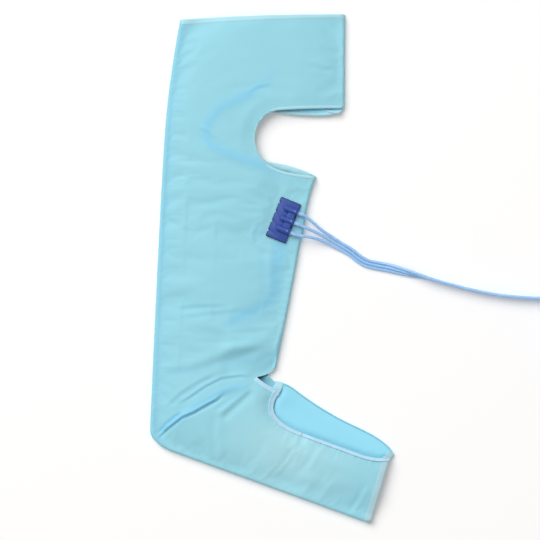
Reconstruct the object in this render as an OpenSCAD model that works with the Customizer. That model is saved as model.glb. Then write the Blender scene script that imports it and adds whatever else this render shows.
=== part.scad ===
// Air compression sleeve for a whole leg, laid flat on its side: a thigh band, a calf section
// with an open knee, and a boot with an open instep. Each section holds one air chamber, and
// three hoses run from a manifold on the calf to a plug. Millimetres. X points to the front of
// the leg, Y up the leg, Z away from the surface that the sleeve lies on.

/* [Thigh] */
// Flat width of the thigh band along its top edge
thigh_w = 275; // [250:1:310]
// Length from the knee fold to the front end of the top edge
thigh_len = 206; // [180:1:260]
// Drop of the top edge from its front end to its back end
thigh_drop = 9; // [0:1:20]
// Lean of the back edge towards the front, from the knee fold to the top
thigh_lean = 26; // [10:1:40]
// Height of the band's front edge above the knee opening
band_h = 151; // [120:1:165]
// How far the far layer of the band hangs below the near layer
band_hang = 8; // [2:1:16]

/* [Knee opening] */
// Flat width of the strip behind the knee
strip_w = 150; // [120:1:180]
// Radius of the round cut at the knee
cut_r = 49; // [40:1:60]

/* [Calf] */
// Length from the knee fold to the ankle notch
calf_len = 397; // [340:1:460]
// Reach of the top front corner, forward of the round cut's deepest point
calf_reach = 103; // [85:1:125]
// Drop of the top front corner below the knee fold
calf_drop = 64; // [58:1:80]
// Reach of the lower front corner, forward of the round cut's deepest point
ankle_reach = 36; // [24:1:50]
// Height of the lower front corner above the ankle notch
ankle_rise = 16; // [10:1:24]
// Lean of the back edge towards the back, from the knee fold to the heel
calf_lean = 24; // [10:1:40]

/* [Foot] */
// Slope of the sole
foot_pitch = 20; // [12:1:28]
// Distance from the ankle notch to the sole
foot_h = 165; // [145:1:185]
// Distance from the ankle notch forward to the toe end
foot_fwd = 261; // [235:1:290]
// Distance from the ankle notch back to the heel, along the sole
heel_back = 122; // [105:1:135]
// Distance from the ankle notch down to the near edge of the instep opening
instep_drop = 62; // [50:1:75]
// Distance from the ankle notch down to the far edge of the instep opening
instep_far_drop = 22; // [12:1:30]
// Length of the ankle band, from the notch to the throat of the opening
throat_len = 46; // [38:1:54]
// Height of the toe end that the instep flap takes
flap_toe_h = 70; // [55:1:85]

/* [Layers] */
// Thickness of the outer shell cloth
shell_t = 0.8; // [0.5:0.1:1.5]
// Thickness of an air chamber with no air in it
chamber_t = 2.2; // [1.8:0.1:4]
// Thickness of the lining cloth
lining_t = 0.8; // [0.5:0.1:1.5]
// Space for the leg between the two linings, when the sleeve lies flat
cavity_t = 5.4; // [5:0.1:12]
// Width of the edge seams that join the near and far layers
seam_w = 3; // [2:0.5:5]
// Width of the hems at the knee and the top
hem_w = 8; // [5:0.5:10]
// Width of the hem at the toe end
toe_hem_w = 10; // [6:0.5:11]
// Width of the bound edge round the instep opening
binding_w = 4; // [3:0.5:6]
// Width of the ankle band
ankle_band_w = 7; // [5:0.5:9]
// Margin from a section's edge to its air chamber
weld_w = 12; // [12:0.5:16]

/* [Manifold] */
// Length of the manifold plate
plate_l = 70; // [62:1:80]
// Width of the manifold plate
plate_w = 36; // [30:1:42]
// Thickness of the manifold plate
plate_t = 4; // [3:0.5:6]
// Corner radius of the manifold plate
plate_r = 3; // [2:0.5:5]
// Tilt of the manifold plate
plate_tilt = 22; // [10:1:30]
// Distance of the manifold plate's middle below the knee fold
plate_down = 136; // [125:1:160]
// Distance of the manifold plate's middle forward of the round cut's deepest point
plate_fwd = 48; // [44:1:52]
// Spacing of the three ports
port_pitch = 17.5; // [15:0.5:19]
// Radius of a port barrel
barrel_r = 5.2; // [4.5:0.1:5.5]
// Length of a port barrel
barrel_l = 20; // [16:1:24]
// Thickness of the gasket under the plate
gasket_t = 0.5; // [0.3:0.1:1]
// Radius of the air passages
air_r = 1.5; // [1:0.1:1.8]
// Width of the flat air ducts inside the calf
duct_w = 10; // [8:1:14]
// Thickness of the flat air ducts, and of the flange under the plate
duct_t = 1.2; // [0.8:0.1:1.4]

/* [Hoses] */
// Outer diameter of a hose
hose_d = 5.2; // [4:0.1:5.4]
// Spacing of the hoses where they run side by side
hose_pitch = 5.5; // [5.5:0.1:6.5]
// Length of the sleeve on each hose's end
sleeve_l = 12; // [8:1:16]
// Outer diameter of that sleeve
sleeve_d = 7.2; // [6.4:0.1:9]
// Radius of the coil's outer turn
coil_r = 60; // [58:1:70]
// Radial step from turn to turn
coil_step = 5.9; // [5.9:0.1:7]
// Length of the straight end between the coil and the plug
lead_l = 24; // [23:1:30]
// Length of the plug's body
plug_l = 26; // [20:1:30]
// Width of the plug's body
plug_w = 12; // [10:1:14]
// Radius of a plug nozzle
nozzle_r = 2; // [1.5:0.1:2.2]
// Length of a plug nozzle
nozzle_l = 9; // [6:0.5:10]
// Thickness of the coil's tie
tie_t = 1; // [0.8:0.1:1.6]
// Width of the coil's tie
tie_w = 12; // [8:1:16]

/* [Hidden] */
$fn = 48;

// Room between two bodies at a fold line
fold_gap = 0.3;
// Room between sewn pieces of one body
sew_gap = 0.1;
// Room round pieces that lie in a cut of another piece
lay_gap = 0.3;
// Length by which a cutting shape reaches past what it cuts
over = 20;

// Heights of the layers, from the surface up
z_far_chamber = shell_t;
z_far_lining = z_far_chamber + chamber_t;
z_cavity = z_far_lining + lining_t;
z_near_lining = z_cavity + cavity_t;
z_near_chamber = z_near_lining + lining_t;
z_near_shell = z_near_chamber + chamber_t;
z_top = z_near_shell + shell_t;
z_duct = z_near_shell - duct_t;

// Points and lines: quadratic curve, arc, and offsets of open lines
function bez(a, c, b, n = 8) =
  [for (i = [0:n]) let (t = i / n) (1 - t) * (1 - t) * a + 2 * t * (1 - t) * c + t * t * b];
function arc(c, r, a0, a1, n) =
  [for (i = [0:n]) let (t = a0 + (a1 - a0) * i / n) c + r * [cos(t), sin(t)]];
function rev(p) = [for (i = [len(p) - 1:-1:0]) p[i]];
function tail(p, n) = [for (i = [len(p) - n:len(p) - 1]) p[i]];
function left_of(p, q) = let (d = q - p) [-d.y, d.x] / norm(d);
function miter(m, n) = (m + n) / (1 + m * n);
function shifted(p, d) = [
  for (i = [0:len(p) - 1])
    let (m = i == 0 ? left_of(p[0], p[1]) : left_of(p[i - 1], p[i]))
    let (n = i == len(p) - 1 ? m : left_of(p[i], p[i + 1]))
    p[i] + d * miter(m, n)
];
function cut_start(p, e) =
  let (d = norm(p[1] - p[0]))
  d > e ? concat([p[0] + (p[1] - p[0]) * e / d], tail(p, len(p) - 1)) : cut_start(tail(p, len(p) - 1), e - d);
function trimmed(p, e) = rev(cut_start(rev(cut_start(p, e)), e));
function ribbon(p, w) = concat(shifted(p, w / 2), rev(shifted(p, -w / 2)));
function between(a, b, t) = a + (b - a) * t;
function longer(p, e) =
  let (n = len(p) - 1)
  let (first = p[0] + e * (p[0] - p[1]) / norm(p[0] - p[1]))
  let (last = p[n] + e * (p[n] - p[n - 1]) / norm(p[n] - p[n - 1]))
  concat([first], p, [last]);

// Corners of the outline, measured from the deepest point of the round cut
cut_mid = [cut_r, 0];
knee_back = [-strip_w, 0];
top_back = [thigh_lean - strip_w, thigh_len - thigh_drop];
top_front = top_back + [thigh_w, thigh_drop];
band_near = top_front - [1, band_h];
band_far = band_near - [0, band_hang];
calf_front = [calf_reach, -calf_drop];
notch = [3, -calf_len];
ankle_front = [ankle_reach, ankle_rise - calf_len];
// Ends of the small step that the manifold's pocket makes in the calf's front edge
step_high = calf_front - [17, 61];
step_low = calf_front - [27, 111];
// A place on the foot, as distances forward of the ankle notch and above it, along the sole
function on_foot(p) =
  notch + p.x * [cos(foot_pitch), -sin(foot_pitch)] + p.y * [sin(foot_pitch), cos(foot_pitch)];
function foot_line(p) = [for (q = p) on_foot(q)];
// Rounding of the heel: its height above the sole, its length along the sole and up the back
heel_up = 8;
heel_l = 28;
heel_rise = 18;
heel = on_foot([-heel_back, heel_up - foot_h]);
heel_top = [-strip_w - calf_lean, heel.y + heel_rise];
sole_start = on_foot([heel_l - heel_back, -foot_h]);
toe_low = on_foot([foot_fwd, -foot_h]);
// Lean of the toe end, rise of the opening's edge there, and start of the flap along the edge
toe_lean = 7;
toe_rise = 12;
flap_start = 105;
flap_tip_cut = 14;
flap_top = [foot_fwd - toe_lean, toe_rise - instep_drop];
flap_low = [foot_fwd - toe_lean * 0.4, flap_top.y - flap_toe_h];
flap_root = [flap_start, -instep_drop];
throat = [throat_len, -9];
throat_back = [throat_len + 1, 17 - instep_drop];
instep_top = [throat_len - 10, 4];
instep_crest = [throat_len + 22, 2];
instep_ball = [foot_fwd - 66, -instep_far_drop];
instep_tip = [foot_fwd - 2, toe_rise + 7 - instep_drop];

// Fold lines: across the strip behind the knee, across the ankle, and along the flap
fold_n = [0, 1] * fold_gap / 2;
crease_n = left_of(heel, notch) * fold_gap / 2;
flap_axis = foot_line([flap_root, flap_low]);
flap_n = left_of(flap_axis[0], flap_axis[1]) * fold_gap;

// Edges of the thigh. The far hem and the calf's near hem sag between their ends.
far_sag = 20;
near_sag = 20;
thigh_back = rev(bez(knee_back + fold_n, knee_back + [5, 0.4 * thigh_len], top_back, 10));
thigh_top = rev(bez(top_back, between(top_back, top_front, 0.4) + [0, 4], top_front, 8));
thigh_front = [band_near, top_front];
upper_cut_near = arc(cut_mid, cut_r, 179.8, 108, 10);
upper_cut_far = arc(cut_mid, cut_r, 179.8, 115, 10);
upper_hem_near = concat(
  upper_cut_near,
  tail(bez(upper_cut_near[10], between(upper_cut_near[10], band_near, 0.35) + [0, 4], band_near, 6), 6)
);
upper_hem_far = concat(
  upper_cut_far,
  tail(bez(upper_cut_far[10], between(upper_cut_far[10], band_far, 0.6) - [0, far_sag], band_far, 8), 8)
);
thigh_near = concat(upper_hem_near, thigh_top, tail(thigh_back, 10));
thigh_far = concat(upper_hem_far, thigh_top, tail(thigh_back, 10));

// Edges of the calf
calf_back = concat(
  bez(knee_back - fold_n, between(knee_back, heel_top, 0.3) - [2, 0], heel_top, 10),
  tail(bez(heel_top, heel_top - [0, heel_rise * 0.67], heel + crease_n, 4), 4)
);
lower_cut_near = rev(arc(cut_mid, cut_r, 180.2, 224, 8));
lower_cut_far = rev(arc(cut_mid, cut_r, 180.2, 233, 8));
lower_hem_near = concat(
  bez(calf_front, between(lower_cut_near[0], calf_front, 0.12) - [0, near_sag], lower_cut_near[0], 8),
  tail(lower_cut_near, 8)
);
lower_hem_far = concat(
  bez(calf_front, between(lower_cut_far[0], calf_front, 0.6) + [0, 8], lower_cut_far[0], 8),
  tail(lower_cut_far, 8)
);
ankle_curve = bez(notch + crease_n, between(notch, ankle_front, 0.64) - [0, 8], ankle_front, 6);
calf_edge = concat(
  bez(ankle_front, between(ankle_front, step_low, 0.54) + [2, 0], step_low, 6),
  tail(bez(step_low, step_low + [6, 15], step_high, 4), 4),
  tail(bez(step_high, step_high + [6, 35], calf_front, 4), 4)
);
calf_near = concat(ankle_curve, tail(calf_edge, 14), tail(lower_hem_near, 16), calf_back);
calf_far = concat(ankle_curve, tail(calf_edge, 14), tail(lower_hem_far, 16), calf_back);

// Edges of the foot and its flap
sole = concat(
  bez(heel - crease_n, on_foot([heel_l / 3 - heel_back, 1 - foot_h]), sole_start, 4),
  [toe_low]
);
throat_edge = foot_line(concat(
  bez(flap_root, [throat_len + 16, -instep_drop], throat_back, 6),
  tail(bez(throat_back, throat_back + [-10, 13], throat, 6), 6)
));
ankle_line = [on_foot(throat), notch - crease_n];
flap_edge = foot_line(concat(
  bez(flap_top, [flap_top.x - 17, -instep_drop], [flap_top.x - 49, -instep_drop], 6),
  [flap_root + [flap_tip_cut, 0]]
));
instep_far = foot_line(concat(
  bez(instep_tip, [instep_tip.x - 14, instep_ball.y - 5], instep_ball, 6),
  tail(bez(instep_ball, [flap_start + 25, instep_ball.y + 4], instep_crest, 6), 6),
  tail(bez(instep_crest, between(instep_crest, instep_top, 0.5) + [0, 5], instep_top, 4), 4)
));
toe_near = [toe_low, flap_axis[1]];
toe_far = [toe_low, instep_far[0]];
flap_toe = [flap_axis[1] + flap_n, flap_edge[0]];
flap_dir = (flap_axis[1] - flap_axis[0]) / norm(flap_axis[1] - flap_axis[0]);
flap_blunt = flap_axis[0] + flap_n + flap_tip_cut * flap_dir;
foot_near = concat(sole, [flap_axis[1]], throat_edge, [ankle_line[1]]);
foot_far = concat(sole, instep_far, [ankle_line[1]]);
flap = concat([flap_blunt, flap_toe[0]], flap_edge);

// The origin is the middle of the whole outline
outline = concat(thigh_near, calf_far, foot_far);
xs = [for (p = outline) p.x];
ys = [for (p = outline) p.y];
mid = [min(xs) + max(xs), min(ys) + max(ys)] / 2;

// Frame of the manifold plate, and the ports along it
plate_mid = [plate_fwd, -plate_down];
port_shift = 2.5;
ports = [for (i = [1:-1:-1]) port_shift + i * port_pitch];
z_plate = z_top + gasket_t;
z_port = z_plate + plate_t + 1.5;
stem_r = air_r + 1.4;
function on_plate(p) =
  plate_mid + p.x * [cos(plate_tilt), -sin(plate_tilt)] + p.y * [sin(plate_tilt), cos(plate_tilt)];
flange_over = 4;
// Air ducts, from the flange to the knee fold and to the ankle crease
duct_x = -60;
thigh_duct = [
  on_plate([0, plate_l / 2 + flange_over]), on_plate([-12, plate_l / 2 + 16]),
  [-20, -50], [duct_x, -25], [duct_x, -fold_gap / 2]
];
crease_at = heel + 0.6 * (notch - heel);
crease_dir = left_of(heel, notch);
foot_duct = [
  on_plate([0, -plate_l / 2 - flange_over]), on_plate([-8, -plate_l / 2 - 20]),
  crease_at + 60 * crease_dir, crease_at + crease_n
];
stub_l = 30;

// Hose routes. The first points follow the ports, and the others lie on the surface.
fans = [
  [[68, 78, 15.6], [82, 66, 10], [97, 56, 5.4], [114, 45, 2.6]],
  [[61, 67, 17.2], [75, 60.5, 12.6], [90, 52.5, 7.2], [110, 41.5, 3]],
  [[57, 54.5, 17.6], [71, 51.5, 13.4], [85, 46.5, 8.2], [106, 36, 3]]
];
run = [
  [132, 28], [146, 17], [159, 10], [176, 6], [194, 2.5], [214, -2.5], [234, -8], [255, -13.5],
  [276, -19.5], [300, -26], [325, -32.5], [350, -38], [375, -42.5], [400, -45.5], [425, -47.5],
  [450, -48.5], [475, -49], [500, -49], [514, -49]
];
// Turn of the three hoses from side by side to one above the other, and lift on to the tie
turns = [0, 0, 0, 0, 10, 30, 55, 80, 90, 90, 90, 90, 90, 90, 90, 90, 90, 90, 90];
lifts = [0, 0, 0, 0, 0, 0, 0, 0, 0, 0, 0, 0, 0, 0, 0, 0.3, 0.8, 1.2, 1.2];
coil_lift = 1.2;
coil_mid = [520, -49 - coil_r];
hose_r = hose_d / 2;
function z_coil(k) = hose_r + coil_lift + (2 - k) * hose_pitch;
function run_point(k, i) =
  let (m = left_of(run[max(i - 1, 0)], run[min(i + 1, len(run) - 1)]))
  let (side = (1 - k) * hose_pitch)
  let (flat = run[i] + side * cos(turns[i]) * m)
  [flat.x, flat.y, hose_r + lifts[i] + (hose_pitch + side) * sin(turns[i])];
function port_point(k, x) =
  let (p = on_plate([x, ports[k]]) - mid)
  [p.x, p.y, z_port];
function hose_route(k) = concat(
  [port_point(k, plate_w / 2), port_point(k, plate_w / 2 + sleeve_l)],
  fans[k],
  [for (i = [0:len(run) - 1]) run_point(k, i)]
);

// Coil of one hose: wound in, turned back at the middle, wound out beside itself, and straight
// to the plug
loop_rings = 24;
winding = 450;
core_r = coil_r - coil_step * winding / 180;
winding_in = [
  for (i = [0:loop_rings * winding / 360])
    let (a = 360 * i / loop_rings)
    coil_mid + (coil_r - coil_step * a / 180) * [sin(a), cos(a)]
];
winding_out = [for (p = rev(winding_in)) 2 * coil_mid - p];
bend_in = arc(coil_mid + [core_r / 2, 0], core_r / 2, 0, -180, 10);
bend_out = arc(coil_mid - [core_r / 2, 0], core_r / 2, 0, 180, 10);
coil_flat = concat(
  [coil_mid + [-6, coil_r]], winding_in, tail(bend_in, 10), tail(bend_out, 10),
  tail(winding_out, len(winding_out) - 1)
);
plug_dir = [1, 0];
plug_at = coil_mid + [lead_l, -coil_r];
function coil_route(k) = [for (p = concat(coil_flat, [plug_at])) [p.x, p.y, z_coil(k)]];

// Least room between stretches of the coil that aren't next to each other along it
function least_gap(p, d, apart) = min([
  for (i = [0:len(p) - 1], j = [i + 1:len(p) - 1])
    j - i > apart ? norm(p[i] - p[j]) - d : 1000
]);
coil_room = least_gap(coil_route(0), hose_d, loop_rings / 2);
echo(least_gap_between_turns = coil_room);

// A tube along a route: rings square to it, joined by triangles, with a flat cap at each end
function along(p, i) =
  let (d = p[min(i + 1, len(p) - 1)] - p[max(i - 1, 0)])
  d / norm(d);
function ring(c, d, r, n) =
  let (side = cross([0, 0, 1], d) / norm(cross([0, 0, 1], d)))
  let (up = cross(d, side))
  [for (j = [0:n - 1]) let (a = 360 * (j + 0.5) / n) c + r * (cos(a) * side + sin(a) * up)];
module tube(p, d, n) {
  rings = len(p);
  points = [for (i = [0:rings - 1]) each ring(p[i], along(p, i), d / 2, n)];
  walls = [
    for (i = [0:rings - 2], j = [0:n - 1])
      let (a = i * n + j)
      let (b = i * n + (j + 1) % n)
      each [[a, a + n, b], [b, a + n, b + n]]
  ];
  start = [for (j = [1:n - 2]) [0, j, j + 1]];
  far = (rings - 1) * n;
  end = [for (j = [1:n - 2]) [far, far + j + 1, far + j]];
  polyhedron(points, concat(walls, start, end), convexity = 8);
}

// Flat pieces, at their place round the origin
module plate(p, z, t) {
  translate([-mid.x, -mid.y, z]) linear_extrude(t) polygon(p);
}
module edge_band(p, edge, w, z, t) {
  intersection() {
    plate(p, z, t);
    plate(ribbon(longer(edge, over), 2 * w), z - 1, t + 2);
  }
}
module cut_back(p, edges, widths, z, t) {
  difference() {
    plate(p, z, t);
    for (i = [0:len(edges) - 1])
      plate(ribbon(longer(edges[i], over), 2 * (widths[i] + sew_gap)), z - 1, t + 2);
  }
}
module near_hem(p, edge, w) {
  edge_band(p, edge, w, z_near_lining, z_top - z_near_lining);
}
module far_hem(p, edge, w) {
  edge_band(p, edge, w, 0, z_cavity);
}
module near_shell_of(p, edges, widths) {
  cut_back(p, edges, widths, z_near_shell, shell_t);
}
module far_shell_of(p, edges, widths) {
  cut_back(p, edges, widths, 0, shell_t);
}
module smaller_plate(p, d, z, t) {
  translate([-mid.x, -mid.y, z]) linear_extrude(t) offset(delta = -d) polygon(p);
}
module lining_of(p, z) {
  smaller_plate(p, weld_w + lay_gap, z, lining_t);
}
module side_seam(p, edge, hems = [], w = hem_w) {
  difference() {
    edge_band(p, edge, seam_w, z_far_chamber, z_near_shell - z_far_chamber);
    for (hem = hems) plate(ribbon(longer(hem, over), 2 * (w + sew_gap)), 0, z_top);
  }
}
// A chamber is one welded bag: a near pad and a far pad, joined by a turn along the folded edge
module chamber_of(near, far, edge) {
  turn = trimmed(edge, weld_w);
  smaller_plate(near, weld_w, z_near_chamber, chamber_t);
  smaller_plate(far, weld_w, z_far_chamber, chamber_t);
  plate(
    concat(shifted(turn, weld_w + lay_gap), rev(shifted(turn, seam_w + lay_gap))),
    z_far_chamber, z_near_shell - z_far_chamber
  );
}

cloth = [0.60, 0.84, 0.90];
cloth_far = [0.55, 0.80, 0.87];
lining_blue = [0.60, 0.89, 0.98];
trim = [0.72, 0.86, 0.93];
bag = [0.86, 0.92, 0.95];
deep_blue = [0.25, 0.37, 0.64];
hose_blue = [0.56, 0.73, 0.96];

// Thigh
thigh_hems_near = [thigh_top, upper_hem_near];
thigh_hems_far = [thigh_top, upper_hem_far];
module thigh_near_shell() { color(cloth) near_shell_of(thigh_near, thigh_hems_near, [hem_w, hem_w]); }
module thigh_far_shell() { color(cloth_far) far_shell_of(thigh_far, thigh_hems_far, [hem_w, hem_w]); }
module thigh_near_lining() { color(lining_blue) lining_of(thigh_near, z_near_lining); }
module thigh_far_lining() { color(lining_blue) lining_of(thigh_far, z_far_lining); }
module thigh_chamber() {
  color(bag) difference() {
    chamber_of(thigh_near, thigh_far, thigh_back);
    thigh_feed(lay_gap);
  }
}
module thigh_back_seam() { color(cloth) side_seam(thigh_near, thigh_back, [thigh_top]); }
module thigh_front_seam() { color(cloth) side_seam(thigh_near, thigh_front, thigh_hems_near); }
module thigh_top_hem_near() { color(trim) near_hem(thigh_near, thigh_top, hem_w); }
module thigh_top_hem_far() { color(trim) far_hem(thigh_far, thigh_top, hem_w); }
module knee_upper_hem_near() { color(trim) near_hem(thigh_near, upper_hem_near, hem_w); }
module knee_upper_hem_far() { color(trim) far_hem(thigh_far, upper_hem_far, hem_w); }
module thigh_feed(room) {
  from = [duct_x, fold_gap / 2];
  plate(
    ribbon([from, from + [0, stub_l + room]], duct_w + 2 * room),
    z_duct - room, duct_t + 2 * room
  );
}
module thigh_feed_stub() { color(bag) thigh_feed(0); }

// Calf
module calf_near_shell() {
  color(cloth) difference() {
    near_shell_of(calf_near, [lower_hem_near], [hem_w]);
    stems(stem_r + lay_gap, z_near_shell - 1, shell_t + 2);
  }
}
module calf_far_shell() { color(cloth_far) far_shell_of(calf_far, [lower_hem_far], [hem_w]); }
module calf_near_lining() { color(lining_blue) lining_of(calf_near, z_near_lining); }
module calf_far_lining() { color(lining_blue) lining_of(calf_far, z_far_lining); }
module calf_chamber() {
  color(bag) difference() {
    chamber_of(calf_near, calf_far, calf_back);
    flange(lay_gap);
    duct(thigh_duct, lay_gap);
    duct(foot_duct, lay_gap);
  }
}
module calf_back_seam() { color(cloth) side_seam(calf_near, calf_back); }
module calf_front_seam() {
  color(cloth) side_seam(calf_near, calf_edge, [lower_hem_near, lower_hem_far]);
}
module knee_lower_hem_near() { color(trim) near_hem(calf_near, lower_hem_near, hem_w); }
module knee_lower_hem_far() { color(trim) far_hem(calf_far, lower_hem_far, hem_w); }
module duct(p, room) {
  plate(ribbon(p, duct_w + 2 * room), z_duct - room, duct_t + 2 * room);
}
module clear_of_flange(room) {
  difference() {
    children();
    flange(room);
  }
}
module thigh_feed_duct() { color(bag) clear_of_flange(sew_gap) duct(thigh_duct, 0); }
module foot_feed_duct() { color(bag) clear_of_flange(sew_gap) duct(foot_duct, 0); }

// Manifold: plate and barrels in one moulding, a gasket, and a flange under the shell
function rounded(w, l, r) = concat(
  arc([w / 2 - r, l / 2 - r], r, 0, 90, 6), arc([r - w / 2, l / 2 - r], r, 90, 180, 6),
  arc([r - w / 2, r - l / 2], r, 180, 270, 6), arc([w / 2 - r, r - l / 2], r, 270, 360, 6)
);
module on_manifold(z) {
  at = plate_mid - mid;
  translate([at.x, at.y, z]) rotate([0, 0, -plate_tilt]) children();
}
module stems(r, z, h) {
  on_manifold(z) for (y = ports) translate([0, y, 0]) cylinder(r = r, h = h);
}
module flange(room) {
  grow = flange_over + room;
  on_manifold(z_duct - room)
    linear_extrude(duct_t + 2 * room) polygon(rounded(plate_w + grow, plate_l + 2 * grow, plate_r));
}
notch_r = 1.6;
notch_at = [for (i = [-1.5:1:1.5]) i * plate_l / 4.2];
module manifold_body() {
  color(deep_blue) difference() {
    union() {
      on_manifold(z_plate) linear_extrude(plate_t) polygon(rounded(plate_w, plate_l, plate_r));
      on_manifold(z_port) for (y = ports) translate([plate_w / 2 - barrel_l, y, 0]) {
        rotate([0, 90, 0]) cylinder(r = barrel_r, h = barrel_l);
        sphere(r = barrel_r);
      }
      stems(stem_r, z_near_shell, z_plate + 1 - z_near_shell);
    }
    on_manifold(z_plate - 1) for (y = notch_at)
      translate([-plate_w / 2, y, 0]) cylinder(r = notch_r, h = plate_t + 2);
    stems(air_r, z_near_shell - 1, z_port - z_near_shell + 1);
    on_manifold(z_port) for (y = ports)
      translate([0, y, 0]) rotate([0, 90, 0]) cylinder(r = air_r, h = plate_w);
  }
}
module manifold_gasket() {
  color([0.35, 0.45, 0.65]) difference() {
    on_manifold(z_top) linear_extrude(gasket_t) polygon(rounded(plate_w - 4, plate_l - 2, plate_r));
    stems(stem_r + lay_gap, z_top - 1, gasket_t + 2);
  }
}
module manifold_flange() {
  color(deep_blue) difference() {
    flange(0);
    stems(air_r, z_duct - 1, duct_t + 2);
  }
}
module hose_sleeves() {
  color(hose_blue) on_manifold(z_port) for (y = ports)
    translate([plate_w / 2, y, 0]) rotate([0, 90, 0]) difference() {
      cylinder(d = sleeve_d, h = sleeve_l);
      translate([0, 0, -1]) cylinder(d = hose_d + sew_gap, h = sleeve_l + 2);
    }
}

// Hoses, their coil, its tie and the plug
module hose_1() { color(hose_blue) tube(hose_route(0), hose_d, 8); }
module hose_2() { color(hose_blue) tube(hose_route(1), hose_d, 8); }
module hose_3() { color(hose_blue) tube(hose_route(2), hose_d, 8); }
module hose_coil_1() { color(hose_blue) tube(coil_route(0), hose_d, 6); }
module hose_coil_2() { color(hose_blue) tube(coil_route(1), hose_d, 6); }
module hose_coil_3() { color(hose_blue) tube(coil_route(2), hose_d, 6); }
module coil_tie() {
  outer = coil_r - coil_step / 2 + hose_r + 0.6;
  inner = core_r - hose_r - 1.6;
  low = coil_lift - 0.1;
  high = z_coil(0) + hose_r + 0.2;
  color(deep_blue) translate([coil_mid.x, coil_mid.y, 0]) difference() {
    translate([inner - tie_t, -tie_w / 2, low - tie_t])
      cube([outer - inner + 2 * tie_t, tie_w, high - low + 2 * tie_t]);
    translate([inner, -tie_w / 2 - 1, low]) cube([outer - inner, tie_w + 2, high - low]);
  }
}
module at_plug(z) {
  translate([plug_at.x, plug_at.y, z]) rotate([0, 0, atan2(plug_dir.y, plug_dir.x)]) children();
}
plug_h = z_coil(0) + hose_r + coil_lift;
module plug_body() {
  rib = 1.2;
  color(deep_blue) at_plug(0) difference() {
    translate([plug_l / 2, 0, 0]) linear_extrude(plug_h) polygon(rounded(plug_l, plug_w, 2));
    for (i = [-2:2], s = [-1, 1])
      translate([plug_l / 2 + i * plug_l / 9, s * (plug_w / 2), 2])
        cylinder(d = rib, h = plug_h - 4);
  }
}
module plug_nozzles() {
  color(deep_blue) for (k = [0:2])
    at_plug(z_coil(k)) translate([plug_l, 0, 0]) rotate([0, 90, 0]) cylinder(r = nozzle_r, h = nozzle_l);
}

// Foot
module foot_near_shell() {
  color(cloth) near_shell_of(
    foot_near, [toe_near, throat_edge, ankle_line], [toe_hem_w, binding_w, ankle_band_w]
  );
}
module foot_far_shell() {
  color(cloth_far) far_shell_of(foot_far, [toe_far, instep_far], [toe_hem_w, binding_w]);
}
module foot_near_lining() { color(lining_blue) lining_of(foot_near, z_near_lining); }
module foot_far_lining() { color(lining_blue) lining_of(foot_far, z_far_lining); }
module foot_chamber() {
  color(bag) difference() {
    chamber_of(foot_near, foot_far, sole);
    foot_feed(lay_gap);
  }
}
module sole_seam() { color(cloth) side_seam(foot_near, sole, [toe_near], toe_hem_w); }
module toe_hem_near() { color(trim) near_hem(foot_near, toe_near, toe_hem_w); }
module toe_hem_far() { color(trim) far_hem(foot_far, toe_far, toe_hem_w); }
module ankle_band() {
  color(trim) difference() {
    near_hem(foot_near, ankle_line, ankle_band_w);
    plate(ribbon(longer(throat_edge, over), 2 * (binding_w + sew_gap)), 0, z_top + 1);
  }
}
module throat_binding() { color(trim) near_hem(foot_near, throat_edge, binding_w); }
module instep_far_binding() {
  color(trim) difference() {
    far_hem(foot_far, instep_far, binding_w);
    plate(ribbon(longer(toe_far, over), 2 * (toe_hem_w + sew_gap)), -1, z_top);
  }
}
module foot_feed(room) {
  from = crease_at - crease_n;
  plate(
    ribbon([from, from - (stub_l + room) * crease_dir], duct_w + 2 * room),
    z_duct - room, duct_t + 2 * room
  );
}
module foot_feed_stub() { color(bag) foot_feed(0); }

// Flap of the near layer beside the instep opening
module flap_shell() {
  color(cloth) near_shell_of(flap, [flap_edge, flap_toe], [binding_w, toe_hem_w]);
}
module flap_lining() {
  color(lining_blue) cut_back(
    flap, [flap_edge, flap_toe], [binding_w, toe_hem_w], z_near_lining, z_near_shell - z_near_lining
  );
}
module flap_binding() { color(trim) near_hem(flap, flap_edge, binding_w); }
module flap_toe_hem() {
  color(trim) difference() {
    near_hem(flap, flap_toe, toe_hem_w);
    plate(ribbon(longer(flap_edge, over), 2 * (binding_w + sew_gap)), 0, z_top + 1);
  }
}

thigh_near_shell();
thigh_far_shell();
thigh_near_lining();
thigh_far_lining();
thigh_chamber();
thigh_back_seam();
thigh_front_seam();
thigh_top_hem_near();
thigh_top_hem_far();
knee_upper_hem_near();
knee_upper_hem_far();
thigh_feed_stub();
calf_near_shell();
calf_far_shell();
calf_near_lining();
calf_far_lining();
calf_chamber();
calf_back_seam();
calf_front_seam();
knee_lower_hem_near();
knee_lower_hem_far();
thigh_feed_duct();
foot_feed_duct();
manifold_body();
manifold_gasket();
manifold_flange();
hose_sleeves();
hose_1();
hose_2();
hose_3();
hose_coil_1();
hose_coil_2();
hose_coil_3();
coil_tie();
plug_body();
plug_nozzles();
foot_near_shell();
foot_far_shell();
foot_near_lining();
foot_far_lining();
foot_chamber();
sole_seam();
toe_hem_near();
toe_hem_far();
ankle_band();
throat_binding();
instep_far_binding();
foot_feed_stub();
flap_shell();
flap_lining();
flap_binding();
flap_toe_hem();
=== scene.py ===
"""Air compression sleeve for a whole leg, laid flat: cloth, hems, port block, hoses and studio."""

import logging
import math
from dataclasses import dataclass, field
from enum import Enum

import bmesh
import bpy
import numpy as np
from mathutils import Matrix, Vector
from mathutils.bvhtree import BVHTree
from mathutils.geometry import delaunay_2d_cdt


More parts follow.
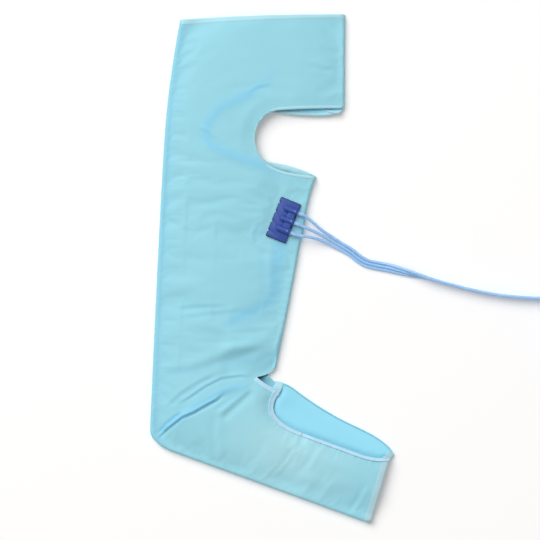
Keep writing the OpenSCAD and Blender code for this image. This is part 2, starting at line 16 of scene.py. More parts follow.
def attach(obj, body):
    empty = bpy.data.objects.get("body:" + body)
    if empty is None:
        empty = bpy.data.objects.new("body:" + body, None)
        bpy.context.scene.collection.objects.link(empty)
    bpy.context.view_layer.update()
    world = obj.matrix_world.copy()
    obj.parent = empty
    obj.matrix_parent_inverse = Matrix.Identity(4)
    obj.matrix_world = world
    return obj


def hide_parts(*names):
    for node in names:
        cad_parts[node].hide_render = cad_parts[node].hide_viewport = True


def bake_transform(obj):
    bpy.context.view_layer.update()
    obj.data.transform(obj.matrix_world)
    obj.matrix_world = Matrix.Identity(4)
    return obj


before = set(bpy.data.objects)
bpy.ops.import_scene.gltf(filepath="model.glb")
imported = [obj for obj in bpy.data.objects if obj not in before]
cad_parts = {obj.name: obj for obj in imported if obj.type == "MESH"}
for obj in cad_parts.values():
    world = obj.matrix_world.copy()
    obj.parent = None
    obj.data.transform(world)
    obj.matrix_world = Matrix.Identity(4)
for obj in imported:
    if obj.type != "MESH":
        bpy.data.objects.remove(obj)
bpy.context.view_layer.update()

LOG = logging.getLogger("sleeve")
MM = 0.001
Point = tuple[float, float]
Array = np.ndarray
Faces = list[tuple[int, ...]]
Piece = bpy.types.Object
Material = bpy.types.Material
Socket = bpy.types.NodeSocket
Node = bpy.types.Node
Tree = bpy.types.NodeTree


class Body(str, Enum):
    """The bodies that the sleeve folds between."""

    THIGH = "thigh"
    CALF = "calf"
    FOOT = "foot"
    FLAP = "flap"


# Lines in the plane


def bend(a: Point, c: Point, b: Point, n: int = 8) -> Array:
    """Points of a quadratic curve from a to b.

    Args:
        a: First point.
        c: Control point.
        b: Last point.
        n: Number of steps.

    Returns:
        Array of n + 1 points.
    """
    t = np.linspace(0.0, 1.0, n + 1)[:, None]
    a, c, b = (np.asarray(p, float) for p in (a, c, b))
    return (1 - t) ** 2 * a + 2 * t * (1 - t) * c + t**2 * b


def arc(c: Point, r: float, a0: float, a1: float, n: int) -> Array:
    """Points of a circular arc.

    Args:
        c: Centre.
        r: Radius.
        a0: First angle in degrees.
        a1: Last angle in degrees.
        n: Number of steps.

    Returns:
        Array of n + 1 points.
    """
    t = np.radians(np.linspace(a0, a1, n + 1))
    return np.asarray(c, float) + r * np.stack([np.cos(t), np.sin(t)], 1)


def between(a: Point, b: Point, t: float) -> Array:
    """The point at share t of the way from a to b."""
    a, b = np.asarray(a, float), np.asarray(b, float)
    return a + (b - a) * t


def chain(*lines: Array) -> Array:
    """Lines joined end to end.

    Args:
        lines: Points of each line.

    Returns:
        All the points, each shared end kept once.
    """
    points = [np.asarray(lines[0], float)]
    for line in lines[1:]:
        line = np.asarray(line, float)
        near = np.linalg.norm(line[0] - points[-1][-1]) < 1e-6
        points.append(line[1:] if near else line)
    return np.concatenate(points)


def resampled(line: Array, step: float) -> Array:
    """A line with its points an even step apart.

    Args:
        line: Points of an open line.
        step: Longest step between the new points.

    Returns:
        Points along the same line, with both ends kept.
    """
    lengths = np.linalg.norm(np.diff(line, axis=0), axis=1)
    along = np.concatenate([[0.0], np.cumsum(lengths)])
    count = max(1, math.ceil(along[-1] / step - 1e-6))
    at = np.linspace(0.0, along[-1], count + 1)
    return np.stack([np.interp(at, along, line[:, i]) for i in range(line.shape[1])], 1)


def distance_to(points: Array, line: Array) -> tuple[Array, Array, Array]:
    """How far points lie from a line in the plane.

    Args:
        points: Points to measure, of two columns.
        line: Points of an open line.

    Returns:
        Distance, signed offset to the left of the line, and share of the line's length.
    """
    best = np.full(len(points), np.inf)
    side = np.zeros(len(points))
    share = np.zeros(len(points))
    steps = np.linalg.norm(np.diff(line, axis=0), axis=1)
    total = max(steps.sum(), 1e-9)
    before = 0.0
    for a, b, step in zip(line[:-1], line[1:], steps):
        if step < 1e-9:
            continue
        d = (b - a) / step
        rel = points - a
        t = np.clip(rel @ d, 0.0, step)
        off = rel - t[:, None] * d
        dist = np.hypot(off[:, 0], off[:, 1])
        left = rel[:, 1] * d[0] - rel[:, 0] * d[1]
        closer = dist < best
        best = np.where(closer, dist, best)
        side = np.where(closer, np.sign(left) * dist, side)
        share = np.where(closer, (before + t) / total, share)
        before += step
    return best, side, share


def unit(vectors: Array) -> Array:
    """Vectors, one to a row, brought to length 1."""
    return vectors / np.linalg.norm(vectors, axis=1)[:, None]


def left_turned(vectors: Array) -> Array:
    """Vectors, one to a row, turned a quarter to the left."""
    return np.stack([-vectors[:, 1], vectors[:, 0]], 1)


def left_of(line: Array) -> Array:
    """Unit vectors to the left of an open line at each of its points."""
    return unit(left_turned(np.gradient(line, axis=0)))


def turned_axes(angle: float) -> Array:
    """Directions to the right and up after a clockwise turn in degrees, one to a row."""
    turn = math.radians(angle)
    return np.array([[math.cos(turn), -math.sin(turn)], [math.sin(turn), math.cos(turn)]])


def smooth(x: Array | float, low: float, high: float) -> Array | float:
    """Smooth step of x from 0 at low to 1 at high."""
    t = np.clip((x - low) / (high - low), 0.0, 1.0)
    return t * t * (3 - 2 * t)


def bell(x: Array, reach: float) -> Array:
    """Bell curve that is 1 at 0 and fades over a reach."""
    return np.exp(-((x / reach) ** 2))


@dataclass(frozen=True)
class Pattern:
    """Flat cut of the sleeve, in millimetres from the round knee cut's deepest point."""

    thigh_w: float = 275.0
    thigh_len: float = 206.0
    thigh_drop: float = 9.0
    thigh_lean: float = 26.0
    band_h: float = 155.5
    strip_w: float = 150.0
    cut_r: float = 49.0
    calf_len: float = 397.0
    calf_reach: float = 103.0
    calf_drop: float = 64.0
    ankle_reach: float = 36.0
    ankle_rise: float = 16.0
    calf_lean: float = 24.0
    foot_pitch: float = 20.0
    foot_h: float = 165.0
    foot_fwd: float = 261.0
    heel_back: float = 122.0
    instep_drop: float = 62.0
    instep_far_drop: float = 22.0
    throat_len: float = 46.0
    flap_toe_h: float = 70.0
    toe_lean: float = 7.0
    toe_rise: float = 12.0
    flap_start: float = 105.0
    notch_x: float = 3.0

    @property
    def notch(self) -> Array:
        """The deepest point of the ankle notch."""
        return np.array([self.notch_x, -self.calf_len])

    @property
    def foot_axes(self) -> Array:
        """Directions forward and up on the foot, one to a row."""
        return turned_axes(self.foot_pitch)

    def on_foot(self, a: float, b: float) -> Array:
        """A place on the foot, by distances forward of the ankle notch and above it."""
        along, up = self.foot_axes
        return self.notch + a * along + b * up

    def foot_line(self, points: Array) -> Array:
        """A line given in distances on the foot."""
        return np.array([self.on_foot(a, b) for a, b in points])

    def drawn(self) -> dict[str, Array]:
        """Every edge of the cut. Plain numbers in it are offsets read from the photograph.

        Returns:
            Points of each edge by its name, in millimetres, before the move to the shared frame.
        """
        notch, on_foot = self.notch, self.on_foot
        cut_mid = np.array([self.cut_r, 0.0])
        knee_back = np.array([-self.strip_w, 0.0])
        top_back = np.array([self.thigh_lean - self.strip_w, self.thigh_len - self.thigh_drop])
        top_front = top_back + [self.thigh_w, self.thigh_drop]
        band_near = top_front - [1.0, self.band_h]
        band_far = band_near - [45.0, 12.6]
        calf_front = np.array([self.calf_reach, -self.calf_drop])
        ankle_front = np.array([self.ankle_reach, self.ankle_rise - self.calf_len])
        step_high = calf_front - [17.0, 61.0]
        step_low = calf_front - [27.0, 111.0]
        heel = on_foot(-self.heel_back, 8.0 - self.foot_h)
        heel_top = np.array([-self.strip_w - self.calf_lean, heel[1] + 18.0])
        sole_start = on_foot(28.0 - self.heel_back, -self.foot_h)
        toe_low = on_foot(self.foot_fwd, -self.foot_h)
        flap_top = (self.foot_fwd - self.toe_lean, self.toe_rise - self.instep_drop)
        flap_low = (self.foot_fwd - 0.4 * self.toe_lean, flap_top[1] - self.flap_toe_h)
        flap_root = (self.flap_start, -self.instep_drop)
        flap_flat = (flap_top[0] - 49.0, -self.instep_drop)
        throat = (self.throat_len, -9.0)
        throat_back = (self.throat_len + 1.0, 17.0 - self.instep_drop)
        instep_top = (self.throat_len - 10.0, 4.0)
        instep_crest = (self.throat_len + 22.0, 2.0)
        instep_ball = (self.foot_fwd - 66.0, -self.instep_far_drop)
        instep_tip = (self.foot_fwd - 2.0, self.toe_rise + 7.0 - self.instep_drop)
        toe_hidden = self.foot_line([(self.foot_fwd - 5.0, -105.0), (self.foot_fwd - 7.0, -62.0)])
        upper, upper_far = (arc(cut_mid, self.cut_r, 180.0, a, 10) for a in (108.0, 115.0))
        lower, lower_far = (arc(cut_mid, self.cut_r, a, 180.0, 8) for a in (224.0, 233.0))
        ankle_curve = bend(notch, between(notch, ankle_front, 0.64) - [0.0, 8.0], ankle_front, 6)
        root, low, top = (on_foot(*p) for p in (flap_root, flap_low, flap_top))
        return {
            "thigh_back": bend(
                knee_back, knee_back + [5.0, 0.4 * self.thigh_len], top_back, 10
            )[::-1],
            "thigh_top": bend(
                top_back, between(top_back, top_front, 0.4) + [0.0, 4.0], top_front
            )[::-1],
            "thigh_front": np.array([band_near, top_front]),
            "upper_hem_near": chain(
                upper, bend(upper[-1], between(upper[-1], band_near, 0.35) + [0.0, 2.5], band_near)
            ),
            "upper_hem_far": chain(
                upper_far,
                bend(upper_far[-1], band_far - [43.0, -0.6], band_far, 6),
                bend(band_far, band_far + [36.0, -0.5], band_near, 6),
            ),
            "lower_hem_near": chain(
                bend(calf_front, between(lower[0], calf_front, 0.12) - [0.0, 20.0], lower[0]), lower
            ),
            "lower_hem_far": chain(
                bend(calf_front, between(lower_far[0], calf_front, 0.6) + [0.0, 8.0], lower_far[0]),
                lower_far,
            ),
            "calf_back": chain(
                bend(knee_back, between(knee_back, heel_top, 0.3) - [2.0, 0.0], heel_top, 10),
                bend(heel_top, heel_top - [0.0, 12.0], heel, 4),
            ),
            "calf_edge": chain(
                bend(ankle_front, between(ankle_front, step_low, 0.54) + [2.0, 0.0], step_low, 6),
                bend(step_low, step_low + [6.0, 15.0], step_high, 4),
                bend(step_high, step_high + [6.0, 35.0], calf_front, 4),
            ),
            "sole": chain(
                bend(heel, on_foot(28.0 / 3 - self.heel_back, 1.0 - self.foot_h), sole_start, 4),
                np.array([sole_start, toe_low]),
            ),
            "throat": self.foot_line(chain(
                bend(flap_root, (self.throat_len + 16.0, -self.instep_drop), throat_back, 6),
                bend(throat_back, (throat_back[0] - 10.0, throat_back[1] + 13.0), throat, 6),
            )),
            "ankle_line": bend(
                on_foot(*throat), between(on_foot(*throat), notch, 0.6) - [2.0, 4.0], notch, 6
            ),
            "flap_edge": self.foot_line(chain(
                bend(flap_top, (flap_top[0] - 17.0, -self.instep_drop), flap_flat, 6),
                np.array([flap_flat, flap_root]),
            )),
            "instep_far": self.foot_line(chain(
                bend(instep_tip, (instep_tip[0] - 14.0, instep_ball[1] - 5.0), instep_ball, 6),
                bend(instep_ball, (self.flap_start + 25.0, instep_ball[1] + 4.0), instep_crest, 6),
                bend(
                    instep_crest, between(instep_crest, instep_top, 0.5) + [0.0, 5.0], instep_top, 4
                ),
            )),
            "ankle_curve": ankle_curve,
            "ankle_curve_far": ankle_curve[3:],
            "ankle_far": bend(on_foot(*instep_top), notch + [25.0, -8.0], ankle_curve[3], 4),
            "toe_foot": np.array([toe_low, low]),
            "toe_flap": np.array([low, top]),
            "toe_far": chain(bend(toe_low, *toe_hidden, 6), [on_foot(*instep_tip)]),
            "flap_axis": np.array([root, low]),
            "crease": np.array([heel, notch]),
            "knee_fold": np.array([knee_back, [0.0, 0.0]]),
        }

    def edges(self) -> dict[str, Array]:
        """Every edge of the cut in the shared frame.

        Returns:
            Points of each edge by its name, in metres.
        """
        drawn = self.drawn()
        outer = ("thigh_top", "thigh_back", "calf_back", "sole", "toe_far", "calf_edge")
        outline = np.concatenate([drawn[n] for n in outer])
        middle = (outline.min(0) + outline.max(0)) / 2
        return {name: (line - middle) * MM for name, line in drawn.items()}


NEAR_LOOP = (
    "upper_hem_near", "thigh_front", "thigh_top", "thigh_back", "calf_back", "sole", "toe_foot",
    "toe_flap", "flap_edge", "throat", "ankle_line", "ankle_curve", "calf_edge", "lower_hem_near",
)
FAR_LOOP = (
    "upper_hem_far", "thigh_front", "thigh_top", "thigh_back", "calf_back", "sole", "toe_far",
    "instep_far", "ankle_far", "ankle_curve_far", "calf_edge", "lower_hem_far",
)
SEWN = ("thigh_front", "thigh_back", "calf_back", "sole", "calf_edge")


# Finishes


def tone(r: int, g: int, b: int) -> tuple[float, float, float, float]:
    """A colour for a node socket.

    Args:
        r: Red from 0 to 255, as on a screen.
        g: Green.
        b: Blue.

    Returns:
        Linear red, green and blue, and full cover.
    """
    parts = [c / 255 for c in (r, g, b)]
    linear = [c / 12.92 if c <= 0.04045 else ((c + 0.055) / 1.055) ** 2.4 for c in parts]
    return (*linear, 1.0)


class NodeBench:
    """Places and joins the nodes of one tree."""

    def __init__(self, tree: Tree) -> None:
        """Keep the tree that nodes go into."""
        self.tree = tree

    def add(self, kind: str, **settings: object) -> Node:
        """A new node.

        Args:
            kind: Type of the node.
            settings: Values of its settings by name.

        Returns:
            The node.
        """
        made = self.tree.nodes.new(kind)
        for name, value in settings.items():
            setattr(made, name, value)
        return made

    def fill(self, socket: Socket, value: object) -> None:
        """Give a socket its value.

        Args:
            socket: Input of a node.
            value: A socket to link, or a plain number or colour.
        """
        if isinstance(value, Socket):
            self.tree.links.new(value, socket)
        else:
            socket.default_value = value

    def filled(self, node: Node, values: dict[str, object]) -> Node:
        """Link or set some of a node's inputs.

        Args:
            node: The node.
            values: Sockets, numbers or colours by the inputs' names.

        Returns:
            The same node.
        """
        for name, value in values.items():
            self.fill(node.inputs[name], value)
        return node

    def math(self, operation: str, *values: object) -> Socket:
        """The result of a math node.

        Args:
            operation: Name of the math operation.
            values: Sockets or numbers for its inputs.

        Returns:
            The node's output socket.
        """
        made = self.add("ShaderNodeMath", operation=operation)
        for socket, value in zip(made.inputs, values):
            self.fill(socket, value)
        return made.outputs[0]

    def mix(self, factor: object, a: object, b: object) -> Socket:
        """A mix of two colours.

        Args:
            factor: Socket or number from 0 for a to 1 for b.
            a: First colour.
            b: Second colour.

        Returns:
            The mixed colour's socket.
        """
        made = self.add("ShaderNodeMix", data_type="RGBA")
        self.fill(made.inputs[0], factor)
        self.fill(made.inputs[6], a)
        self.fill(made.inputs[7], b)
        return made.outputs[2]

    def noise(self, place: Socket, scale: object, detail: float = 2.0, warp: float = 0.0) -> Socket:
        """The value of a noise texture.

        Args:
            place: Where it is read.
            scale: Socket or number of its scale.
            detail: Number of finer layers.
            warp: Distortion.

        Returns:
            The value's socket.
        """
        made = self.add("ShaderNodeTexNoise", noise_dimensions="3D")
        values = {"Vector": place, "Scale": scale, "Detail": detail, "Distortion": warp}
        return self.filled(made, values).outputs["Fac"]

    def bump(self, height: Socket, distance: float, strength: float, **under: Socket) -> Socket:
        """A normal that follows a height.

        Args:
            height: Height from 0 to 1.
            distance: Height of 1 in metres.
            strength: Share of the height that shows.
            under: A normal that lies below it, as Normal.

        Returns:
            The normal's socket.
        """
        values = {"Height": height, "Distance": distance, "Strength": strength, **under}
        return self.filled(self.add("ShaderNodeBump"), values).outputs["Normal"]


def shader_group(
    name: str, size: str, default: float, *outputs: str
) -> tuple[Tree, NodeBench, Node, Node]:
    """An empty shader node group into which a place and a size go.

    Args:
        name: Name of the group.
        size: Name of the size.
        default: The size where none is given.
        outputs: Names of the values that come out.

    Returns:
        The tree, its bench, its input node and its output node.
    """
    tree = bpy.data.node_groups.new(name, "ShaderNodeTree")
    sockets = [("Vector", "INPUT", "Vector"), (size, "INPUT", "Float")]
    for label, way, kind in sockets + [(label, "OUTPUT", "Float") for label in outputs]:
        made = tree.interface.new_socket(label, in_out=way, socket_type="NodeSocket" + kind)
        if label == size:
            made.default_value = default
    bench = NodeBench(tree)
    return tree, bench, bench.add("NodeGroupInput"), bench.add("NodeGroupOutput")


class Effects:
    """Shader node groups that several finishes share."""

    def __init__(self) -> None:
        """Build each group once."""
        self.weave = self.make_weave()
        self.crumple = self.make_crumple()
        self.wear = self.make_wear()

    def make_weave(self) -> Tree:
        """Plain weave of crossing threads, as a height and a thread shade.

        Returns:
            The group.
        """
        tree, bench, given, out = shader_group("fine_weave", "Pitch", 0.0007, "Height", "Shade")
        parts = bench.add("ShaderNodeSeparateXYZ")
        bench.filled(parts, {"Vector": given.outputs["Vector"]})
        rate = bench.math("DIVIDE", math.pi, given.outputs["Pitch"])
        warp, weft = (
            bench.math("SINE", bench.math("MULTIPLY", parts.outputs[i], rate)) for i in (0, 1)
        )
        height = bench.math("MULTIPLY_ADD", bench.math("MULTIPLY", warp, weft), 0.5, 0.5)
        bench.filled(out, {"Height": height, "Shade": bench.math("POWER", height, 0.6)})
        return tree

    def make_crumple(self) -> Tree:
        """Small soft wrinkles of coated cloth at two scales, as a height and a mottled mask.

        Returns:
            The group.
        """
        tree, bench, given, out = shader_group("soft_crumple", "Scale", 22.0, "Height", "Mask")
        place, scale = given.outputs["Vector"], given.outputs["Scale"]
        broad = bench.noise(place, scale, 2.0, 0.35)
        fine = bench.noise(place, bench.math("MULTIPLY", scale, 3.7), 3.0, 0.35)
        ridge = bench.math("ABSOLUTE", bench.math("SUBTRACT", fine, 0.5))
        height = bench.math("MULTIPLY_ADD", ridge, -0.35, broad)
        bench.filled(out, {"Height": height, "Mask": broad})
        return tree

    def make_wear(self) -> Tree:
        """Scuffs of handled plastic, as a mask and a grain height.

        Returns:
            The group.
        """
        tree, bench, given, out = shader_group("handled_wear", "Scale", 160.0, "Mask", "Height")
        place, scale = given.outputs["Vector"], given.outputs["Scale"]
        grain = bench.noise(place, bench.math("MULTIPLY", scale, 12.0))
        mask = bench.filled(
            bench.add("ShaderNodeMapRange", interpolation_type="SMOOTHSTEP"),
            {"Value": bench.noise(place, scale, 4.0), "From Min": 0.52, "From Max": 0.72},
        )
        bench.filled(out, {"Mask": mask.outputs["Result"], "Height": grain})
        return tree


def principled(name: str) -> tuple[Material, NodeBench, Node]:
    """A new node material.

    Args:
        name: Name of the material.

    Returns:
        The material, the bench of its tree and its shader.
    """
    made = bpy.data.materials.new(name)
    made.use_nodes = True
    return made, NodeBench(made.node_tree), made.node_tree.nodes["Principled BSDF"]


@dataclass(frozen=True)
class ClothFinish:
    """Coated woven cloth with a weave, small wrinkles and random paler mottling; a fold value
    paints bluer shade above 0 and paler light below 0.
    """

    name: str
    colour: tuple[int, int, int]
    shade_and_tint_colour: tuple[int, int, int]
    mottle_and_light_colour: tuple[int, int, int]
    pitch: float = 0.0008
    crumple: float = 0.0006
    weave: float = 0.00006
    roughness: float = 0.62
    sheen: float = 0.12
    mottle: float = 0.25
    thread_shade: float = 0.12
    rough_spread: float = 0.16
    specular: float = 0.35
    wrinkle_scale: float = 20.0

    def material(self, effects: Effects) -> Material:
        """The node material of this cloth.

        Args:
            effects: Shared shader groups.

        Returns:
            The new material.
        """
        made, bench, shader = principled(self.name)
        place = bench.add("ShaderNodeTexCoord").outputs["Object"]
        weave, crumple = (
            bench.filled(bench.add("ShaderNodeGroup", node_tree=tree), {"Vector": place, **values})
            for tree, values in (
                (effects.weave, {"Pitch": self.pitch}),
                (effects.crumple, {"Scale": self.wrinkle_scale}),
            )
        )
        mask = crumple.outputs["Mask"]
        # The fold value paints shade and light: above 0 it mixes in the bluer shade colour, below 0
        # the paler colour
        fold = bench.add("ShaderNodeAttribute", attribute_name="fold").outputs["Fac"]
        plain, bluer, paler = (
            tone(*c) for c in (self.colour, self.shade_and_tint_colour, self.mottle_and_light_colour)
        )
        mottled = bench.mix(bench.math("MULTIPLY", mask, self.mottle), plain, paler)
        low = self.thread_shade
        shade = bench.math("MULTIPLY_ADD", weave.outputs["Shade"], -low, low)
        threads = bench.mix(shade, mottled, bluer)
        # Painted light: the colour turns paler where the fold value is below 0
        painted_light = bench.mix(bench.math("MULTIPLY", fold, -1.0), threads, paler)
        wrinkle = bench.bump(crumple.outputs["Height"], self.crumple, 0.9)
        spread = self.rough_spread
        bench.filled(shader, {
            "Base Color": bench.mix(fold, painted_light, bluer),
            "Roughness": bench.math("MULTIPLY_ADD", mask, spread, self.roughness - spread / 2),
            "Sheen Weight": self.sheen,
            "Sheen Roughness": 0.5,
            "Specular IOR Level": self.specular,
            "Normal": bench.bump(weave.outputs["Height"], self.weave, 0.6, Normal=wrinkle),
        })
        return made


@dataclass(frozen=True)
class MouldedFinish:
    """Moulded plastic or soft tube with grain and light scuffs."""

    name: str
    colour: tuple[int, int, int]
    worn_colour: tuple[int, int, int]
    roughness: float = 0.36
    coat: float = 0.0
    grain: float = 0.00003
    scale: float = 160.0
    wear: float = 0.35
    soft: float = 0.0

    def material(self, effects: Effects) -> Material:
        """The node material of this plastic.

        Args:
            effects: Shared shader groups.

        Returns:
            The new material.
        """
        made, bench, shader = principled(self.name)
        place = bench.add("ShaderNodeTexCoord").outputs["Object"]
        worn = bench.filled(
            bench.add("ShaderNodeGroup", node_tree=effects.wear),
            {"Vector": place, "Scale": self.scale},
        )
        mask = worn.outputs["Mask"]
        share = bench.math("MULTIPLY", mask, self.wear)
        bench.filled(shader, {
            "Base Color": bench.mix(share, tone(*self.colour), tone(*self.worn_colour)),
            "Roughness": bench.math("MULTIPLY_ADD", mask, 0.15, self.roughness),
            "Coat Weight": self.coat,
            "Coat Roughness": 0.12,
            "Subsurface Weight": self.soft,
            "Subsurface Radius": (1.0, 1.0, 1.0),
            "Subsurface Scale": 0.004,
            "Normal": bench.bump(worn.outputs["Height"], self.grain, 0.5),
        })
        return made


Finishes = dict[str, Material]
# Each cloth: its own colour; a shade colour painted into creases and between threads, the shell's
# also a real bluish colour in faint streaks; and a paler colour for random mottle that also serves
# as painted light
FINISHES = {
    "shell": ClothFinish("shell_cloth", (148, 213, 228), (118, 202, 243), (173, 225, 235)),
    # The lining's near-black second colour is painted shadow in the ankle notch
    "lining": ClothFinish(
        "lining_cloth", (152, 229, 253), (14, 54, 68), (162, 233, 254), crumple=0.0004
    ),
    "hem": ClothFinish(
        "hem_tape", (174, 226, 238), (136, 194, 214), (184, 230, 240), pitch=0.0006
    ),
    "cuff": ClothFinish(
        "cuff_tape", (174, 211, 221), (134, 184, 206), (182, 216, 226), pitch=0.0006
    ),
    "binding": ClothFinish(
        "binding_tape", (182, 224, 243), (140, 190, 218), (194, 229, 246), pitch=0.0006,
        crumple=0.0003,
    ),
    "thread": ClothFinish(
        "thread", (178, 226, 238), (146, 202, 218), (188, 230, 240), pitch=0.0004, crumple=0.0001
    ),
    "strap": ClothFinish("tie_strap", (52, 78, 140), (34, 54, 104), (60, 88, 150), pitch=0.0009),
    "blue": MouldedFinish("moulded_blue", (43, 75, 158), (76, 102, 182), roughness=0.5),
    # The gasket's colour also serves as painted shade on the port plate's edge and in two boxes
    # between the ports
    "gasket": MouldedFinish(
        "gasket_and_painted_shade", (36, 52, 104), (50, 70, 124), roughness=0.6, wear=0.2
    ),
    "hose": MouldedFinish(
        "hose_tube", (160, 204, 254), (180, 216, 254), roughness=0.24, coat=0.5, grain=0.00001,
        scale=60.0, wear=0.3, soft=0.6,
    ),
    "sleeve": MouldedFinish(
        "sleeve_tube", (166, 202, 247), (184, 216, 250), roughness=0.26, coat=0.4, grain=0.00001,
        scale=60.0, wear=0.3, soft=0.6,
    ),
}


def make_finishes() -> Finishes:
    """Every material of the sleeve by its short name, each made once."""
    effects = Effects()
    return {name: finish.material(effects) for name, finish in FINISHES.items()}


# Meshes


def placed(name: str, data: bpy.types.ID) -> Piece:
    """A new object, linked to the scene.

    Args:
        name: Name of the object.
        data: Its mesh, curve, light or camera.

    Returns:
        The object.
    """
    made = bpy.data.objects.new(name, data)
    bpy.context.scene.collection.objects.link(made)
    return made


def new_object(name: str, points: Array, faces: Faces, *materials: Material) -> Piece:
    """A smooth mesh object at the origin.

    Args:
        name: Name of the object and its mesh.
        points: Places of the points in metres.
        faces: Point numbers of each face.
        materials: Materials of its slots.

    Returns:
        The new object, linked to the scene.
    """
    mesh = bpy.data.meshes.new(name)
    mesh.from_pydata([tuple(p) for p in points], [], faces)
    mesh.update()
    mesh.shade_smooth()
    for material in materials:
        mesh.materials.append(material)
    return placed(name, mesh)


def plain_mesh(made: Piece) -> None:
    """Apply an object's modifiers and leave it a plain mesh.

    Args:
        made: Object with modifiers.
    """
    graph = bpy.context.evaluated_depsgraph_get()
    graph.update()
    mesh = bpy.data.meshes.new_from_object(made.evaluated_get(graph), depsgraph=graph)
    old = made.data
    made.modifiers.clear()
    made.data = mesh
    mesh.name = made.name
    if old.users == 0:
        bpy.data.meshes.remove(old)


def coords(mesh: bpy.types.Mesh) -> Array:
    """The places of a mesh's points.

    Args:
        mesh: The mesh.

    Returns:
        One place to a row.
    """
    flat = np.empty(len(mesh.vertices) * 3)
    mesh.vertices.foreach_get("co", flat)
    return flat.reshape(-1, 3)


def skin(name: str, rings: list[Array], *materials: Material, scale: float = MM) -> Piece:
    """A closed skin over rings of equal count, with its faces turned outwards.

    Args:
        name: Name of the piece.
        rings: Closed point rings in order.
        materials: Materials of its slots.
        scale: Metres in a unit of the rings.

    Returns:
        The new object.
    """
    n, count = len(rings[0]), len(rings)
    faces: Faces = []
    for i in range(count - 1):
        for j in range(n):
            a, b = i * n + j, i * n + (j + 1) % n
            faces.append((a, b, b + n, a + n))
    faces.append(tuple(range(n - 1, -1, -1)))
    faces.append(tuple(range((count - 1) * n, count * n)))
    made = new_object(name, np.concatenate(rings) * scale, faces, *materials)
    bm = bmesh.new()
    bm.from_mesh(made.data)
    bmesh.ops.remove_doubles(bm, verts=bm.verts, dist=1e-6)
    bmesh.ops.recalc_face_normals(bm, faces=bm.faces)
    bm.to_mesh(made.data)
    bm.free()
    return made


def circle(sides: int) -> Array:
    """Angles of the points round a ring."""
    return np.linspace(0.0, 2 * math.pi, sides, endpoint=False)


def lathe(
    name: str, profile: list[Point], start: Array, direction: Array, finish: Material,
    sides: int = 28,
) -> Piece:
    """A turned piece along a line.

    Args:
        name: Name of the piece.
        profile: Distance along the line and radius of each ring, in millimetres.
        start: First point of the line, in millimetres.
        direction: Direction of the line.
        finish: Material of the piece.
        sides: Points round a ring.

    Returns:
        The new object.
    """
    d = np.asarray(direction, float) / np.linalg.norm(direction)
    side = np.cross([0.0, 0.0, 1.0], d)
    side /= np.linalg.norm(side)
    up = np.cross(d, side)
    ways = [math.cos(a) * side + math.sin(a) * up for a in circle(sides)]
    rings = [np.array([start + s * d + r * way for way in ways]) for s, r in profile]
    return skin(name, rings, finish)


def round_box(low: Point, high: Point, r: float, steps: int) -> Array:
    """Outline of a box with round corners.

    Args:
        low: Its lower left corner.
        high: Its upper right corner.
        r: Radius of the corners.
        steps: Steps round each corner.

    Returns:
        Points from the right side up and round.
    """
    (x0, y0), (x1, y1) = low, high
    mids = ((x1 - r, y1 - r), (x0 + r, y1 - r), (x0 + r, y0 + r), (x1 - r, y0 + r))
    return np.concatenate([arc(c, r, a, a + 90, steps) for c, a in zip(mids, (0, 90, 180, 270))])


def joined(name: str, parts: list[Piece]) -> Piece:
    """Objects joined in one mesh, materials kept.

    Args:
        name: Name of the result.
        parts: Mesh objects at the origin.

    Returns:
        The joined object.
    """
    slots: list[Material] = []
    bm = bmesh.new()
    for part in parts:
        first = len(bm.faces)
        bm.from_mesh(part.data)
        bm.faces.ensure_lookup_table()
        where = []
        for material in part.data.materials:
            if material not in slots:
                slots.append(material)
            where.append(slots.index(material))
        for face in bm.faces[first:]:
            face.material_index = where[face.material_index]
    mesh = bpy.data.meshes.new(name)
    bm.to_mesh(mesh)
    bm.free()
    for part in parts:
        old = part.data
        bpy.data.objects.remove(part)
        bpy.data.meshes.remove(old)
    for material in slots:
        mesh.materials.append(material)
    return placed(name, mesh)


def shade_by_angle(made: Piece, angle: float) -> None:
    """Mark a mesh's edges sharp above an angle in degrees, so that flat faces stay crisp."""
    made.data.shade_smooth()
    made.data.set_sharp_from_angle(angle=math.radians(angle))


# How pieces move


@dataclass(frozen=True)
class Motion:
    """How a piece moves: with one body, or between two with the ends of a fold kept, though nothing
    here bends it.
    """

    first: Body
    second: Body | None = None
    start: tuple[float, float, float] = (0.0, 0.0, 0.0)
    end: tuple[float, float, float] = (0.0, 0.0, 0.0)

    def apply(self, made: Piece) -> None:
        """Tie a finished piece to its one body; a piece between two bodies only has its place baked
        into its mesh.

        Args:
            made: Finished piece.
        """
        if self.second is None:
            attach(made, self.first.value)
        else:
            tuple(self.start)
            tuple(self.end)
            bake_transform(made)


def fasten(made: Piece, motion: Motion, slot: str, *nodes: str) -> None:
    """Apply a piece's motion and hide the solids that it stands for.

    Args:
        made: Finished piece.
        motion: How it moves.
        slot: Not used.
        nodes: Solids that it stands for.
    """
    motion.apply(made)
    if nodes:
        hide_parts(*nodes)


# Hoses and what they end in


@dataclass(frozen=True)
class Plate:
    """Where the port block's plate lies on the calf, in millimetres."""

    mid: Point = (19.163, 81.658)
    tilt: float = 22.0
    width: float = 36.0
    length: float = 70.0

    @property
    def axes(self) -> Array:
        """Directions across the plate and along it, one to a row."""
        return turned_axes(self.tilt)

    def spot(self, x: float, y: float) -> Array:
        """A place on the plate, in the plane."""
        across, along = self.axes
        return np.array(self.mid) + x * across + y * along

    def distance(self, xy: Array) -> Array:
        """How far places lie from the plate.

        Args:
            xy: Places in metres.

        Returns:
            Distance of each place in millimetres.
        """
        rel = xy / MM - np.array(self.mid)
        sizes = zip(self.axes, (self.width, self.length))
        return np.hypot(*(np.maximum(abs(rel @ axis) - size / 2, 0.0) for axis, size in sizes))


